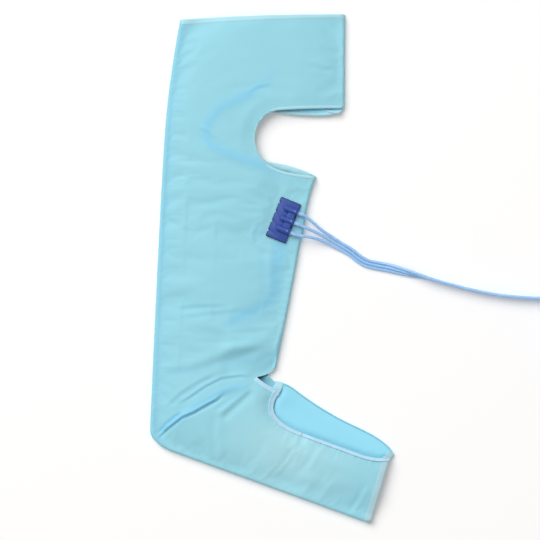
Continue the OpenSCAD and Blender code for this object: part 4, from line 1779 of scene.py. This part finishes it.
@dataclass
class Sleeve:
    """The cloth of the sleeve: near and far layers, edge seams, hems, piping and stitches.

    Sizes are in millimetres. Only fold_z, the height at which the folds are set, is in metres.
    """

    pattern: Pattern
    near_top: float = 13.0
    edge_low: float = 2.4
    edge_round: float = 3.2
    edge_power: float = 2.2
    edge_sink: float = 1.6
    edge_rings: Point = (0.7, 2.0)
    ring_slack: float = 0.2
    lip_sink: float = 4.4
    hem_sink: float = 2.0
    far_lift: float = 2.6
    far_lift_reach: float = 24.0
    far_ripples: Point = (0.15, 0.12)
    pillow: float = 3.0
    bare_zone: Point = (0.5, 6.0)
    instep_shore: float = 16.0
    ankle_shore: float = 12.0
    lip_shore: float = 7.0
    crown: float = 3.0
    wall: float = 1.9
    far_top: float = 3.3
    far_wall: float = 2.6
    grid: float = 4.2
    far_grid: float = 5.5
    frames: int = 18
    cap: float = 5.0
    pressure: float = 0.6
    shrink: float = -0.006
    fold_zone: float = 16.0
    flap_zone: float = 16.0
    calf_border: float = 30.0
    toe_border: float = 93.0
    fold_z: float = 0.013
    seat_z: float = 12.95
    hem_lift: float = 3.6
    hem_lift_reach: float = 16.0
    inner_zone: Point = (2.0, 10.0)
    hem_reach: float = 26.0
    hem_rim: float = 3.0
    sink_reach: float = 45.0
    sink_clear: Point = (5.0, 40.0)
    lip_reach: float = 34.0
    crown_zone: Point = (12.0, 95.0)
    seat_zone: Point = (1.0, 22.0)
    seat_rim: Point = (0.5, 3.0)
    seat_calm: Point = (2.0, 14.0)
    edge_calm: Point = (0.5, 7.0)
    ankle_calm: float = 20.0
    pucker_start: float = 5.0
    held_edge: float = 2.2
    held_seat: float = 3.0
    drift: float = 0.5
    # Painted shade along the back edges, where the cloth rolls down: share and reach
    back_edge_shade: Point = (0.28, 15.0)
    # Painted shade round the ankle notch: share and reach of each part
    notch_shade: tuple[Point, Point] = ((0.6, 14.0), (0.4, 29.0))
    # Painted light, a paler colour on the foot's side: its share, middle and reach
    pale: float = 0.85
    painted_light_mid: Point = (95.0, -95.0)
    painted_light_reach: Point = (95.0, 62.0)
    tuck: tuple[Point, ...] = ((-39.0, 0.4), (-12.0, -13.2), (-4.2, -3.4))
    tuck_r: Point = (0.3, 1.5)
    tuck_wide: float = 1.3
    tuck_lift: float = 0.9
    strap_top: tuple[Point, Point] = ((-14.0, 5.0), (0.0, -1.0))
    strap_low: tuple[Point, Point] = ((-1.0, 1.5), (11.0, -1.5))
    strap_drop: Point = (0.25, 0.95)
    strap_rise: tuple[Point, ...] = (
        (0.0, 0.2), (0.06, 0.6), (0.3, 0.8), (0.7, 0.7), (0.94, 0.4), (1.0, 0.0)
    )
    strap_wall: float = 0.9
    tape_step: float = 2.5
    end_slack: float = 1.0
    end_pull: float = 0.4
    seam_step: float = 3.0
    seam_mid: Point = (1.7, 1.8)
    seam_r: Point = (1.5, 1.6)
    sharp: float = 65.0
    pieces: dict[str, Piece] = field(default_factory=dict)

    def __post_init__(self) -> None:
        """Work out the edges and the folds from the cut."""
        self.edges = self.pattern.edges()
        zone, z = self.fold_zone * MM, self.fold_z
        x, knee = (float(c) for c in self.edges["knee_fold"].mean(0))
        self.moves = {body.value: Motion(body) for body in (Body.THIGH, Body.CALF, Body.FOOT)}
        self.moves["knee"] = Motion(
            Body.THIGH, Body.CALF, (x, knee + zone, z), (x, knee - zone, z)
        )
        heel, self.notch = self.edges["crease"]
        up = left_of(self.edges["crease"])[0] * zone
        self.moves["ankle"] = Motion(
            Body.CALF, Body.FOOT, (*(heel + up), z), (*(heel - up), z)
        )
        root = self.edges["flap_axis"][0]
        out = left_of(self.edges["flap_axis"])[0] * self.flap_zone * MM
        self.moves["flap"] = Motion(Body.FOOT, Body.FLAP, (*root, z), (*(root + out), z))

    def loop(self, names: tuple[str, ...], step: float) -> Array:
        """A closed outline with its points a step apart.

        Args:
            names: Edges in order round the outline.
            step: Spacing in metres.

        Returns:
            Points of the outline, with the first not repeated.
        """
        line = chain(*(resampled(self.edges[n], step) for n in names))
        return line[:-1] if np.linalg.norm(line[0] - line[-1]) < 1e-6 else line

    def edge_distance(self, xy: Array, *names: str) -> Array:
        """Distance in millimetres from each place to the nearest of some edges."""
        return np.min([distance_to(xy, self.edges[n])[0] for n in names], axis=0) / MM

    def sewn_distance(self, xy: Array) -> Array:
        """Distance in millimetres from each place to the nearest sewn edge."""
        return self.edge_distance(xy, *SEWN)

    def far_height(self, xy: Array) -> Array:
        """Height of the far layer's upper face, which swells in the openings.

        Args:
            xy: Places in metres.

        Returns:
            Heights in metres.
        """
        x, y = xy.T / MM
        slow, quick = self.far_ripples
        z = self.far_top + slow * np.sin(x / 21.0 + 1.3 * np.sin(y / 33.0))
        z = z + quick * np.sin(y / 17.0 + x / 29.0)
        lip = self.edge_distance(xy, "throat", "flap_edge")
        rim = self.loop(NEAR_LOOP, self.grid * MM)
        off = distance_to(xy, np.concatenate([rim, rim[:1]]))[0] / MM
        bare = smooth(np.where(inside(xy, rim), 0.0, off), *self.bare_zone)
        z = z + self.far_lift * bell(lip, self.far_lift_reach)
        shore = smooth(self.edge_distance(xy, "instep_far"), 0.0, self.instep_shore)
        shore = shore * smooth(self.edge_distance(xy, "ankle_line"), 0.0, self.ankle_shore)
        z = z + self.pillow * bare * smooth(lip, 0.0, self.lip_shore) * shore
        hem = self.edge_distance(xy, "upper_hem_near", "lower_hem_near")
        inner = smooth(self.sewn_distance(xy), *self.inner_zone)
        return (z + self.hem_lift * bell(hem, self.hem_lift_reach) * inner) * MM

    def near_height(self, xy: Array, plate: Plate) -> Array:
        """Height of the near cloth before it is slackened.

        Args:
            xy: Places in metres.
            plate: Where the port block lies.

        Returns:
            Heights in metres: rolled at the sewn edges and flat under the port block.
        """
        d = self.sewn_distance(xy)
        t = np.clip(d / self.edge_round, 0.0, 1.0)
        roll = (1.0 - (1.0 - t) ** self.edge_power) ** (1 / self.edge_power)
        hem = self.edge_distance(xy, "upper_hem_near", "lower_hem_near")
        sink = self.edge_sink * (1.0 - smooth(d, 0.0, self.sink_reach))
        sink = sink * smooth(hem, *self.sink_clear)
        z = self.edge_low + (self.near_top - sink - self.edge_low) * roll
        z = z + self.crown * smooth(d, *self.crown_zone)
        lip = self.edge_distance(xy, "throat", "flap_edge")
        z = z - self.lip_sink * (1.0 - smooth(lip, 0.0, self.lip_reach))
        dip = self.hem_sink * (1.0 - smooth(hem, 0.0, self.hem_reach))
        z = z - dip * smooth(d, 0.0, self.hem_rim)
        seat = (1.0 - smooth(plate.distance(xy), *self.seat_zone)) * smooth(d, *self.seat_rim)
        return (z + (self.seat_z - z) * seat) * MM

    def slackened(self, made: Piece, held: Array) -> Array:
        """Let the cloth settle: a little spare cloth and air, held at its sewn edges.

        Args:
            made: Cloth object in its first shape.
            held: How firmly each point is held, from 0 to 1.

        Returns:
            The settled places, no further from the first ones than the cap.
        """
        first = coords(made.data)
        group = made.vertex_groups.new(name="held")
        for weight in np.unique(held):
            if weight > 0.0:
                group.add(np.flatnonzero(held == weight).tolist(), float(weight), "REPLACE")
        cloth = made.modifiers.new("cloth", "CLOTH")
        for name, value in CLOTH.items():
            setattr(cloth.settings, name, value)
        cloth.settings.uniform_pressure_force = self.pressure
        cloth.settings.shrink_min = self.shrink
        cloth.settings.vertex_group_mass = group.name
        cloth.settings.effector_weights.gravity = 0.0
        cloth.collision_settings.use_collision = False
        cloth.point_cache.frame_end = self.frames
        scene = bpy.context.scene
        for frame_number in range(1, self.frames + 1):
            scene.frame_set(frame_number)
        graph = bpy.context.evaluated_depsgraph_get()
        settled = coords(made.evaluated_get(graph).to_mesh())
        made.modifiers.clear()
        scene.frame_set(1)
        move = settled - first
        size = np.linalg.norm(move, axis=1)[:, None]
        mean, most = size.mean() / MM, size.max() / MM
        LOG.info("cloth moved %.1f mm on average, %.1f mm at most", mean, most)
        cap = self.cap * MM
        share = np.where(size > 0.0, cap * np.tanh(size / cap) / np.maximum(size, 1e-9), 0.0)
        return first + move * share

    def puckers(self, xy: Array) -> Array:
        """Small gathers that run out from the sewn piping and hems.

        Args:
            xy: Places in the flat cut in millimetres.

        Returns:
            Rise of each place in millimetres.
        """
        rise = np.zeros(len(xy))
        for name, count, depth, reach in PUCKERS:
            dist, _, share = distance_to(xy, self.edges[name] / MM)
            wave = np.sin(2 * math.pi * count * share + 1.7 * np.sin(7.0 * share * math.pi + count))
            wave *= 0.55 + 0.45 * np.sin(11.0 * share * math.pi + 2.0 * count)
            rise += depth * wave * bell(dist, reach) * smooth(dist, 0.0, self.pucker_start)
        return rise

    def painted_light(self, xy: Array) -> Array:
        """How far places take painted light, a paler colour, on the foot's side.

        Args:
            xy: Places in metres.

        Returns:
            Share of the painted paler light at each place.
        """
        a, b = ((xy - self.notch) / MM @ self.pattern.foot_axes.T).T
        (x, y), (wide, high) = self.painted_light_mid, self.painted_light_reach
        return self.pale * bell(a - x, wide) * bell(b - y, high)

    def make_near(self, plate: Plate) -> Layer:
        """The whole near layer as one surface, settled and creased.

        Args:
            plate: Where the port block lies.

        Returns:
            The layer.
        """
        rim = self.loop(NEAR_LOOP, self.grid * MM)
        left = unit(left_turned(np.roll(rim, -1, 0) - np.roll(rim, 1, 0)))
        sides = []
        for depth in self.edge_rings:
            side = rim + left * depth * MM
            off = self.sewn_distance(side)
            sides.append(side[(abs(off - depth) < self.ring_slack) & inside(side, rim)])
        flat, faces = flat_cut(rim, self.grid * MM, np.concatenate(sides))
        start = np.column_stack([flat, self.near_height(flat, plate)])
        made = new_object("near_cloth", start, faces)
        held = self.sewn_distance(flat) < self.held_edge
        held = np.where(held | (plate.distance(flat) < self.held_seat), 1.0, 0.0)
        settled = self.slackened(made, held)
        off = self.edge_distance(flat, "ankle_line", "ankle_curve", "throat")
        settled = start + (settled - start) * smooth(off, 0.0, self.ankle_calm)[:, None]
        settled[:, :2] = flat + (settled[:, :2] - flat) * self.drift
        cut = made.data.attributes.new("cut", "FLOAT_VECTOR", "POINT")
        cut.data.foreach_set("vector", np.column_stack([flat, np.zeros(len(flat))]).ravel())
        made.data.vertices.foreach_set("co", settled.ravel())
        made.data.update()
        finer = made.modifiers.new("finer", "SUBSURF")
        finer.levels = finer.render_levels = 1
        finer.boundary_smooth = "PRESERVE_CORNERS"
        plain_mesh(made)
        points = coords(made.data)
        where = np.empty(len(points) * 3)
        made.data.attributes["cut"].data.foreach_get("vector", where)
        where = where.reshape(-1, 3)[:, :2]
        faces = [tuple(p.vertices) for p in made.data.polygons]
        bpy.data.objects.remove(made)
        xy = where / MM
        rise = self.puckers(xy)
        # Fold value: painted shade from the creases and along the back edges, less painted paler
        # light on the foot's side
        fold = np.zeros(len(points))
        for crease in CREASES:
            more, shade_tint = crease.height(xy)
            rise += more
            fold = np.maximum(fold, shade_tint)
        # Painted shade along the back edges, less painted light on the foot's side
        back = self.edge_distance(where, "thigh_back", "calf_back")
        share, reach = self.back_edge_shade
        fold = np.maximum(fold, share * bell(back, reach)) - self.painted_light(where)
        seat = smooth(plate.distance(where), *self.seat_calm)
        edge = smooth(self.sewn_distance(where), *self.edge_calm)
        points[:, 2] += rise * seat * edge * MM
        return Layer(points, faces, where, fold, self.wall * MM, "shell_cloth", True)

    def make_far(self) -> Layer:
        """The whole far layer as one surface, with shade painted round the ankle notch.

        Returns:
            The layer.
        """
        flat, faces = flat_cut(self.loop(FAR_LOOP, self.far_grid * MM), self.far_grid * MM)
        points = np.column_stack([flat, self.far_height(flat)])
        # Painted shade round the ankle notch, where the near layer shades the lining
        off = np.linalg.norm(flat - self.notch, axis=1) / MM
        fold = sum(share * bell(off, reach) for share, reach in self.notch_shade)
        return Layer(points, faces, flat, fold, self.far_wall * MM, "lining", False)

    def cut_out(self, layer: Layer, name: str, faces: Faces, finishes: Finishes) -> Piece:
        """Some faces of a layer as a piece with a cloth wall and a lining.

        Args:
            layer: The whole layer.
            name: Name of the piece.
            faces: The faces that the piece takes.
            finishes: Materials of the sleeve.

        Returns:
            The new object.
        """
        used = np.unique(np.concatenate([np.array(f) for f in faces]))
        number = np.full(len(layer.points), -1)
        number[used] = np.arange(len(used))
        own = [tuple(int(number[i]) for i in f) for f in faces]
        slots = (finishes["shell"], finishes["lining"])
        made = new_object(name, layer.points[used], own, *slots[:: 1 if layer.outside_up else -1])
        # The fold value carries painted shade and light to the material
        shade_tint = made.data.attributes.new("fold", "FLOAT", "POINT")
        shade_tint.data.foreach_set("value", layer.fold[used].astype(np.float32))
        solid = made.modifiers.new("wall", "SOLIDIFY")
        solid.thickness = layer.wall
        solid.offset = -1.0
        solid.material_offset = 1
        solid.use_quality_normals = True
        plain_mesh(made)
        # The underside gets no painted shade
        if not layer.outside_up:
            for under in made.data.attributes["fold"].data[len(used):]:
                under.value = 0.0
        shade_by_angle(made, self.sharp)
        return made

    def group(self, layer: Layer) -> list[Faces]:
        """Sort a layer's faces into upper, ankle and toe pieces.

        Args:
            layer: The whole layer. Only the near one has a toe piece of its own.

        Returns:
            Faces of the upper, ankle and toe pieces.
        """
        groups: list[Faces] = [[], [], []]
        for face in layer.faces:
            x, y = middle = layer.flat[list(face)].mean(0)
            forward = float((middle - self.notch) @ self.pattern.foot_axes[0])
            if y > self.calf_border * MM or (x > self.notch[0] and y > self.notch[1]):
                groups[0].append(face)
            elif layer.outside_up and forward > self.toe_border * MM:
                groups[2].append(face)
            else:
                groups[1].append(face)
        return groups

    def area_of(self, flat: Array, faces: Faces) -> tuple[float, Point]:
        """Flat area of some faces, and the box that they are cut from.

        Args:
            flat: Places of the layer's points in the flat cut.
            faces: Faces by point numbers.

        Returns:
            Area in square metres, and the box's sides in metres.
        """
        area = 0.0
        for face in faces:
            p = flat[list(face)]
            q = np.roll(p, -1, 0)
            area += abs(float((p[:, 0] * q[:, 1] - p[:, 1] * q[:, 0]).sum())) / 2
        used = flat[np.unique(np.concatenate([np.array(f) for f in faces]))]
        box = used.max(0) - used.min(0)
        return area, (float(box[0]), float(box[1]))

    def keep(self, made: Piece, move: str, slot: str, *nodes: str) -> None:
        """Fasten a piece that makes a named motion and keep it by its name."""
        fasten(made, self.moves[move], slot, *nodes)
        self.pieces[made.name] = made

    def lay_out(
        self, layer: Layer, pieces: tuple, finishes: Finishes, **rest: object
    ) -> SurfaceProbe:
        """Args:
            layer: The whole layer.
            pieces: Name, move and solids of the upper, ankle and toe pieces.
            finishes: Materials of the sleeve.
            rest: Not used.

        Returns:
            A probe of the layer's upper face.
        """
        for (name, move, nodes), faces in zip(pieces, self.group(layer)):
            made = self.cut_out(layer, name, faces, finishes)
            self.keep(made, move, layer.slot, *nodes)
            area, box = self.area_of(layer.flat, faces)
        return SurfaceProbe(layer.points, layer.faces)

    def rings_along(
        self, line: Array, profile: list[tuple], probe: SurfaceProbe, width: Array, rise: Array
    ) -> list[Array]:
        """Rings of a strip that lies on a surface along its edge.

        Args:
            line: Edge of the surface, with the surface on its left.
            profile: Place in from the edge as a share of the width and millimetres more, and height
                over the surface as a share of the rise and millimetres more.
            probe: Gives the surface's height.
            width: Width of the strip at each point in millimetres.
            rise: Rise of the strip at each point in millimetres.

        Returns:
            Rings of points in metres.
        """
        rings = []
        for p, q, w, up in zip(line, left_of(line), width, rise):
            ring = []
            for share, more, lift, over in profile:
                s = share * w + more
                on = probe.height(p + q * max(s, 0.8) * MM)
                ring.append((*(p + q * s * MM), on + (lift * up + over) * MM))
            rings.append(np.array(ring))
        return rings

    def tape(self, trim: Trim, probe: SurfaceProbe, finish: Material) -> tuple[Piece, Array]:
        """A tape folded over a free edge of a layer.

        Args:
            trim: What the tape is.
            probe: Gives the layer's upper face.
            finish: Material of the tape.

        Returns:
            The new object, and the line of its stitches.
        """
        line = resampled(chain(*(self.edges[n] for n in trim.edges)), self.tape_step * MM)
        for _ in range(3):
            line[1:-1] = (line[:-2] + 2 * line[1:-1] + line[2:]) / 4
        for end, beside in ((0, 1), (-1, -2)):
            if self.sewn_distance(line[end:][:1])[0] < self.end_slack:
                line[end] = between(line[end], line[beside], self.end_pull)
        share = np.linspace(0.0, 1.0, len(line))
        off = abs(share - sum(trim.calm) / 2) * 2 / (trim.calm[1] - trim.calm[0])
        flat = 1.0 - smooth(off, *trim.calm_edge)
        narrow, flatter = trim.calm_loss
        rise = trim.rise * (1.0 - flatter * flat)
        width = (trim.width[0] + (trim.width[1] - trim.width[0]) * share) * (1.0 - narrow * flat)
        wall = self.wall if trim.near else self.far_wall
        low, lip = -wall - 0.45, trim.lip
        if trim.ridge:
            profile = [
                (1, 0.1, 0, -0.6), (1, 0.4, 0.6, 0), (1, 0.1, 0.95, 0), (1, -0.7, 1.05, 0),
                (1, -1.6, 0.7, 0), (0.45, 0, 0.4, 0), (0, 1.4, 0.35, 0), (0, 0.2, 0.2, 0),
            ]
        else:
            profile = [
                (1, 0, 0, -0.5), (1, 0, 0, 0.1), (1, -0.4, 0.75, 0), (0.55, 0, 1, 0),
                (0, 1.6, 1, 0), (0, 0.2, 0.8, 0),
            ]
        profile += [
            (0, -0.75 * lip, 0.2, -0.5), (0, -lip, 0, -wall / 2), (0, -0.75 * lip, 0, low + 0.9),
            (0, 0.2, 0, low + 0.2), (0, 1.6, 0, low), (1, 0, 0, low),
        ]
        rings = self.rings_along(line, profile, probe, width, rise)
        rings = [np.maximum(ring, (-np.inf, -np.inf, 0.0)) for ring in rings]
        made = skin(trim.name, rings, finish, scale=1.0)
        sewn = self.rings_along(line[2:-2], [(1, -1.5, 1, 0.08)], probe, width[2:-2], rise[2:-2])
        return made, np.array([ring[0] for ring in sewn])

    def seam(self, name: str, line: Array, finish: Material) -> Piece:
        """The turned seam where the near and far layers meet along a sewn edge.

        Args:
            name: Name of the piece.
            line: Edge in metres, with the cloth on its left.
            finish: Material of the seam.

        Returns:
            The new object.
        """
        line = resampled(line, self.seam_step * MM)
        (x, z), (rx, rz) = self.seam_mid, self.seam_r
        rings = [
            np.array([(*(p + q * (x + rx * math.cos(a)) * MM), (z + rz * math.sin(a)) * MM)
                      for a in circle(12)])
            for p, q in zip(line, left_of(line))
        ]
        return skin(name, rings, finish, scale=1.0)

    def build_seams(self, finish: Material) -> None:
        """Make the turned seams along the sewn edges.

        Args:
            finish: Material of the seams.
        """
        edges = self.edges
        border, step = self.calf_border * MM, self.seam_step * MM
        fine = resampled(edges["calf_back"], step)
        upper = chain(edges["thigh_back"], fine[fine[:, 1] >= border])
        lower = chain(fine[fine[:, 1] <= border + step], edges["sole"])
        for name, line, move, *nodes in (
            ("leg_back_seam", upper, "knee", "thigh_back_seam", "calf_back_seam"),
            ("heel_sole_seam", lower, "ankle", "sole_seam"),
            ("thigh_front_edge", edges["thigh_front"], "thigh", "thigh_front_seam"),
            ("calf_front_edge", edges["calf_edge"], "calf", "calf_front_seam"),
        ):
            self.keep(self.seam(name, line, finish), move, "shell_cloth", *nodes)

    def ankle_strap(self, near: SurfaceProbe, far: SurfaceProbe, finish: Material) -> Piece:
        """The short strap that joins the two layers in front of the ankle.

        Args:
            near: Probe of the near layer's upper face.
            far: Probe of the far layer's upper face.
            finish: Material of the strap.

        Returns:
            The new object.
        """
        tops = self.edges["ankle_line"][0] + np.array(self.strap_top) * MM
        lows = self.edges["ankle_far"][0] + np.array(self.strap_low) * MM
        rings = []
        for t in np.linspace(0.0, 1.0, 9):
            a, b = between(tops, lows, t)
            down = smooth(t, *self.strap_drop)
            upper = []
            for share, over in self.strap_rise:
                p = between(a, b, share)
                z = near.height(p) * (1 - down) + far.height(p) * down
                upper.append((*p, z + over * MM))
            lower = [(x, y, z - self.strap_wall * MM) for x, y, z in upper[::-1]]
            rings.append(np.array(upper + lower))
        return skin("ankle_front_strap", rings, finish, scale=1.0)

    def corner_tuck(self, far: SurfaceProbe, finish: Material) -> Piece:
        """The gathered fold where the two layers close at the thigh's lower front corner.

        Args:
            far: Probe of the far layer's upper face.
            finish: Material of the fold.

        Returns:
            The new object.
        """
        line = bend(*(self.edges["thigh_front"][0] + np.array(self.tuck) * MM), 16)
        rings = []
        for t, p, q in zip(np.linspace(0.0, 1.0, len(line)), line, left_of(line)):
            size = (self.tuck_r[0] + self.tuck_r[1] * math.sin(math.pi * t)) * MM
            wide, z = self.tuck_wide * size, far.height(p) + self.tuck_lift * MM
            rings.append(np.array(
                [(*(p + q * wide * math.cos(a)), z + size * math.sin(a)) for a in circle(12)]
            ))
        return skin("thigh_corner_tuck", rings, finish, scale=1.0)

    def build_hems(self, finishes: Finishes, near: SurfaceProbe, far: SurfaceProbe) -> None:
        """Make the hems, bands and piping along the free edges, and their stitches.

        Args:
            finishes: Materials of the sleeve.
            near: Probe of the near layer's upper face.
            far: Probe of the far layer's upper face.
        """
        stitches: dict[str, tuple[str, list[Array]]] = {}
        for trim in TRIMS:
            made, thread = self.tape(trim, near if trim.near else far, finishes[trim.finish])
            slot = "hem_tape" if "hem" in trim.name else "binding_tape"
            self.keep(made, trim.moves, slot, *trim.nodes)
            if trim.row:
                stitches.setdefault(trim.row, (trim.moves, []))[1].append(thread)
        self.keep(self.ankle_strap(near, far, finishes["hem"]), "foot", "binding_tape")
        self.keep(self.corner_tuck(far, finishes["hem"]), "thigh", "hem_tape")
        sewing = StitchRow()
        for name, (move, lines) in stitches.items():
            self.keep(sewing.sew(name, lines, finishes["thread"]), move, "hem_tape")

    def build(self, finishes: Finishes, plate: Plate) -> None:
        """Make every cloth piece.

        Args:
            finishes: Materials of the sleeve.
            plate: Where the port block lies.
        """
        near = self.lay_out(
            self.make_near(plate), NEAR_PIECES, finishes, rests_on=["calf_far_shell"]
        )
        far = self.lay_out(self.make_far(), FAR_PIECES, finishes)
        self.build_seams(finishes["shell"])
        self.build_hems(finishes, near, far)


# Studio


@dataclass
class Studio:
    """A pale floor, soft light from the upper left and a camera straight above."""

    view_width: float = 0.900
    aim: Point = (-0.003, -0.0013)
    lens: float = 240.0
    sensor: float = 36.0
    floor_size: float = 6.0
    floor_z: float = -0.0002
    floor_shade: float = 0.92
    floor_glow: float = 0.11
    air: tuple[float, float, float, float] = (1.0, 0.965, 0.945, 1.0)
    air_strength: float = 0.36

    def make_floor(self) -> None:
        """A plain pale floor that keeps the shadows and reads white to the camera."""
        half, z = self.floor_size / 2, self.floor_z
        corners = np.array([(-half, -half, z), (half, -half, z), (half, half, z), (-half, half, z)])
        material, bench, shader = principled("pale_floor")
        path = bench.add("ShaderNodeLightPath")
        seen = bench.math("MAXIMUM", path.outputs["Is Camera Ray"], path.outputs["Is Glossy Ray"])
        bench.filled(shader, {
            "Base Color": (*[self.floor_shade] * 3, 1.0),
            "Roughness": 0.9,
            "Specular IOR Level": 0.1,
            "Emission Color": (1.0, 1.0, 1.0, 1.0),
            "Emission Strength": bench.math("MULTIPLY", seen, self.floor_glow),
        })
        new_object("floor", corners, [(0, 1, 2, 3)], material)

    def make_lights(self) -> None:
        """One broad key light from the upper left, a fill from the front, and an even world."""
        world = bpy.data.worlds.new("studio_world")
        bpy.context.scene.world = world
        world.use_nodes = True
        back = world.node_tree.nodes["Background"]
        back.inputs["Color"].default_value = self.air
        back.inputs["Strength"].default_value = self.air_strength
        for name, place, size, power in (
            ("key", (-3.7, 4.9, 7.0), 8.0, 772.0),
            ("fill", (1.4, -1.2, 2.6), 2.4, 7.5),
        ):
            lamp = bpy.data.lights.new(name, "AREA")
            lamp.shape = "DISK"
            lamp.size = size
            lamp.energy = power
            light = placed(name, lamp)
            light.location = place
            light.rotation_euler = (-Vector(place)).to_track_quat("-Z", "Y").to_euler()

    def make_camera(self) -> None:
        """The camera straight above, at the height that gives the photograph's frame."""
        lens = bpy.data.cameras.new("camera")
        lens.lens = self.lens
        lens.sensor_width = self.sensor
        lens.clip_end = 50.0
        camera = placed("camera", lens)
        camera.location = (*self.aim, self.view_width * self.lens / self.sensor)
        bpy.context.scene.camera = camera

    def build(self) -> None:
        """Make the floor, the lights and the camera."""
        self.make_camera()
        self.make_floor()
        self.make_lights()
        bpy.context.scene.view_settings.view_transform = "Standard"


def main() -> None:
    """Build the studio, the hoses, the port block and the cloth, in that order."""
    logging.basicConfig(level=logging.INFO, format="%(name)s: %(message)s")
    Studio().build()
    finishes = make_finishes()
    hoses = HoseSet()
    hoses.build(finishes)
    block = PortBlock(hoses).build(finishes)
    cloth = Sleeve(Pattern())
    cloth.build(finishes, hoses.plate)
    for name in (*hoses.pieces, block.name, *cloth.pieces):
        LOG.info("%s made", name)


if __name__ == "__main__":
    main()
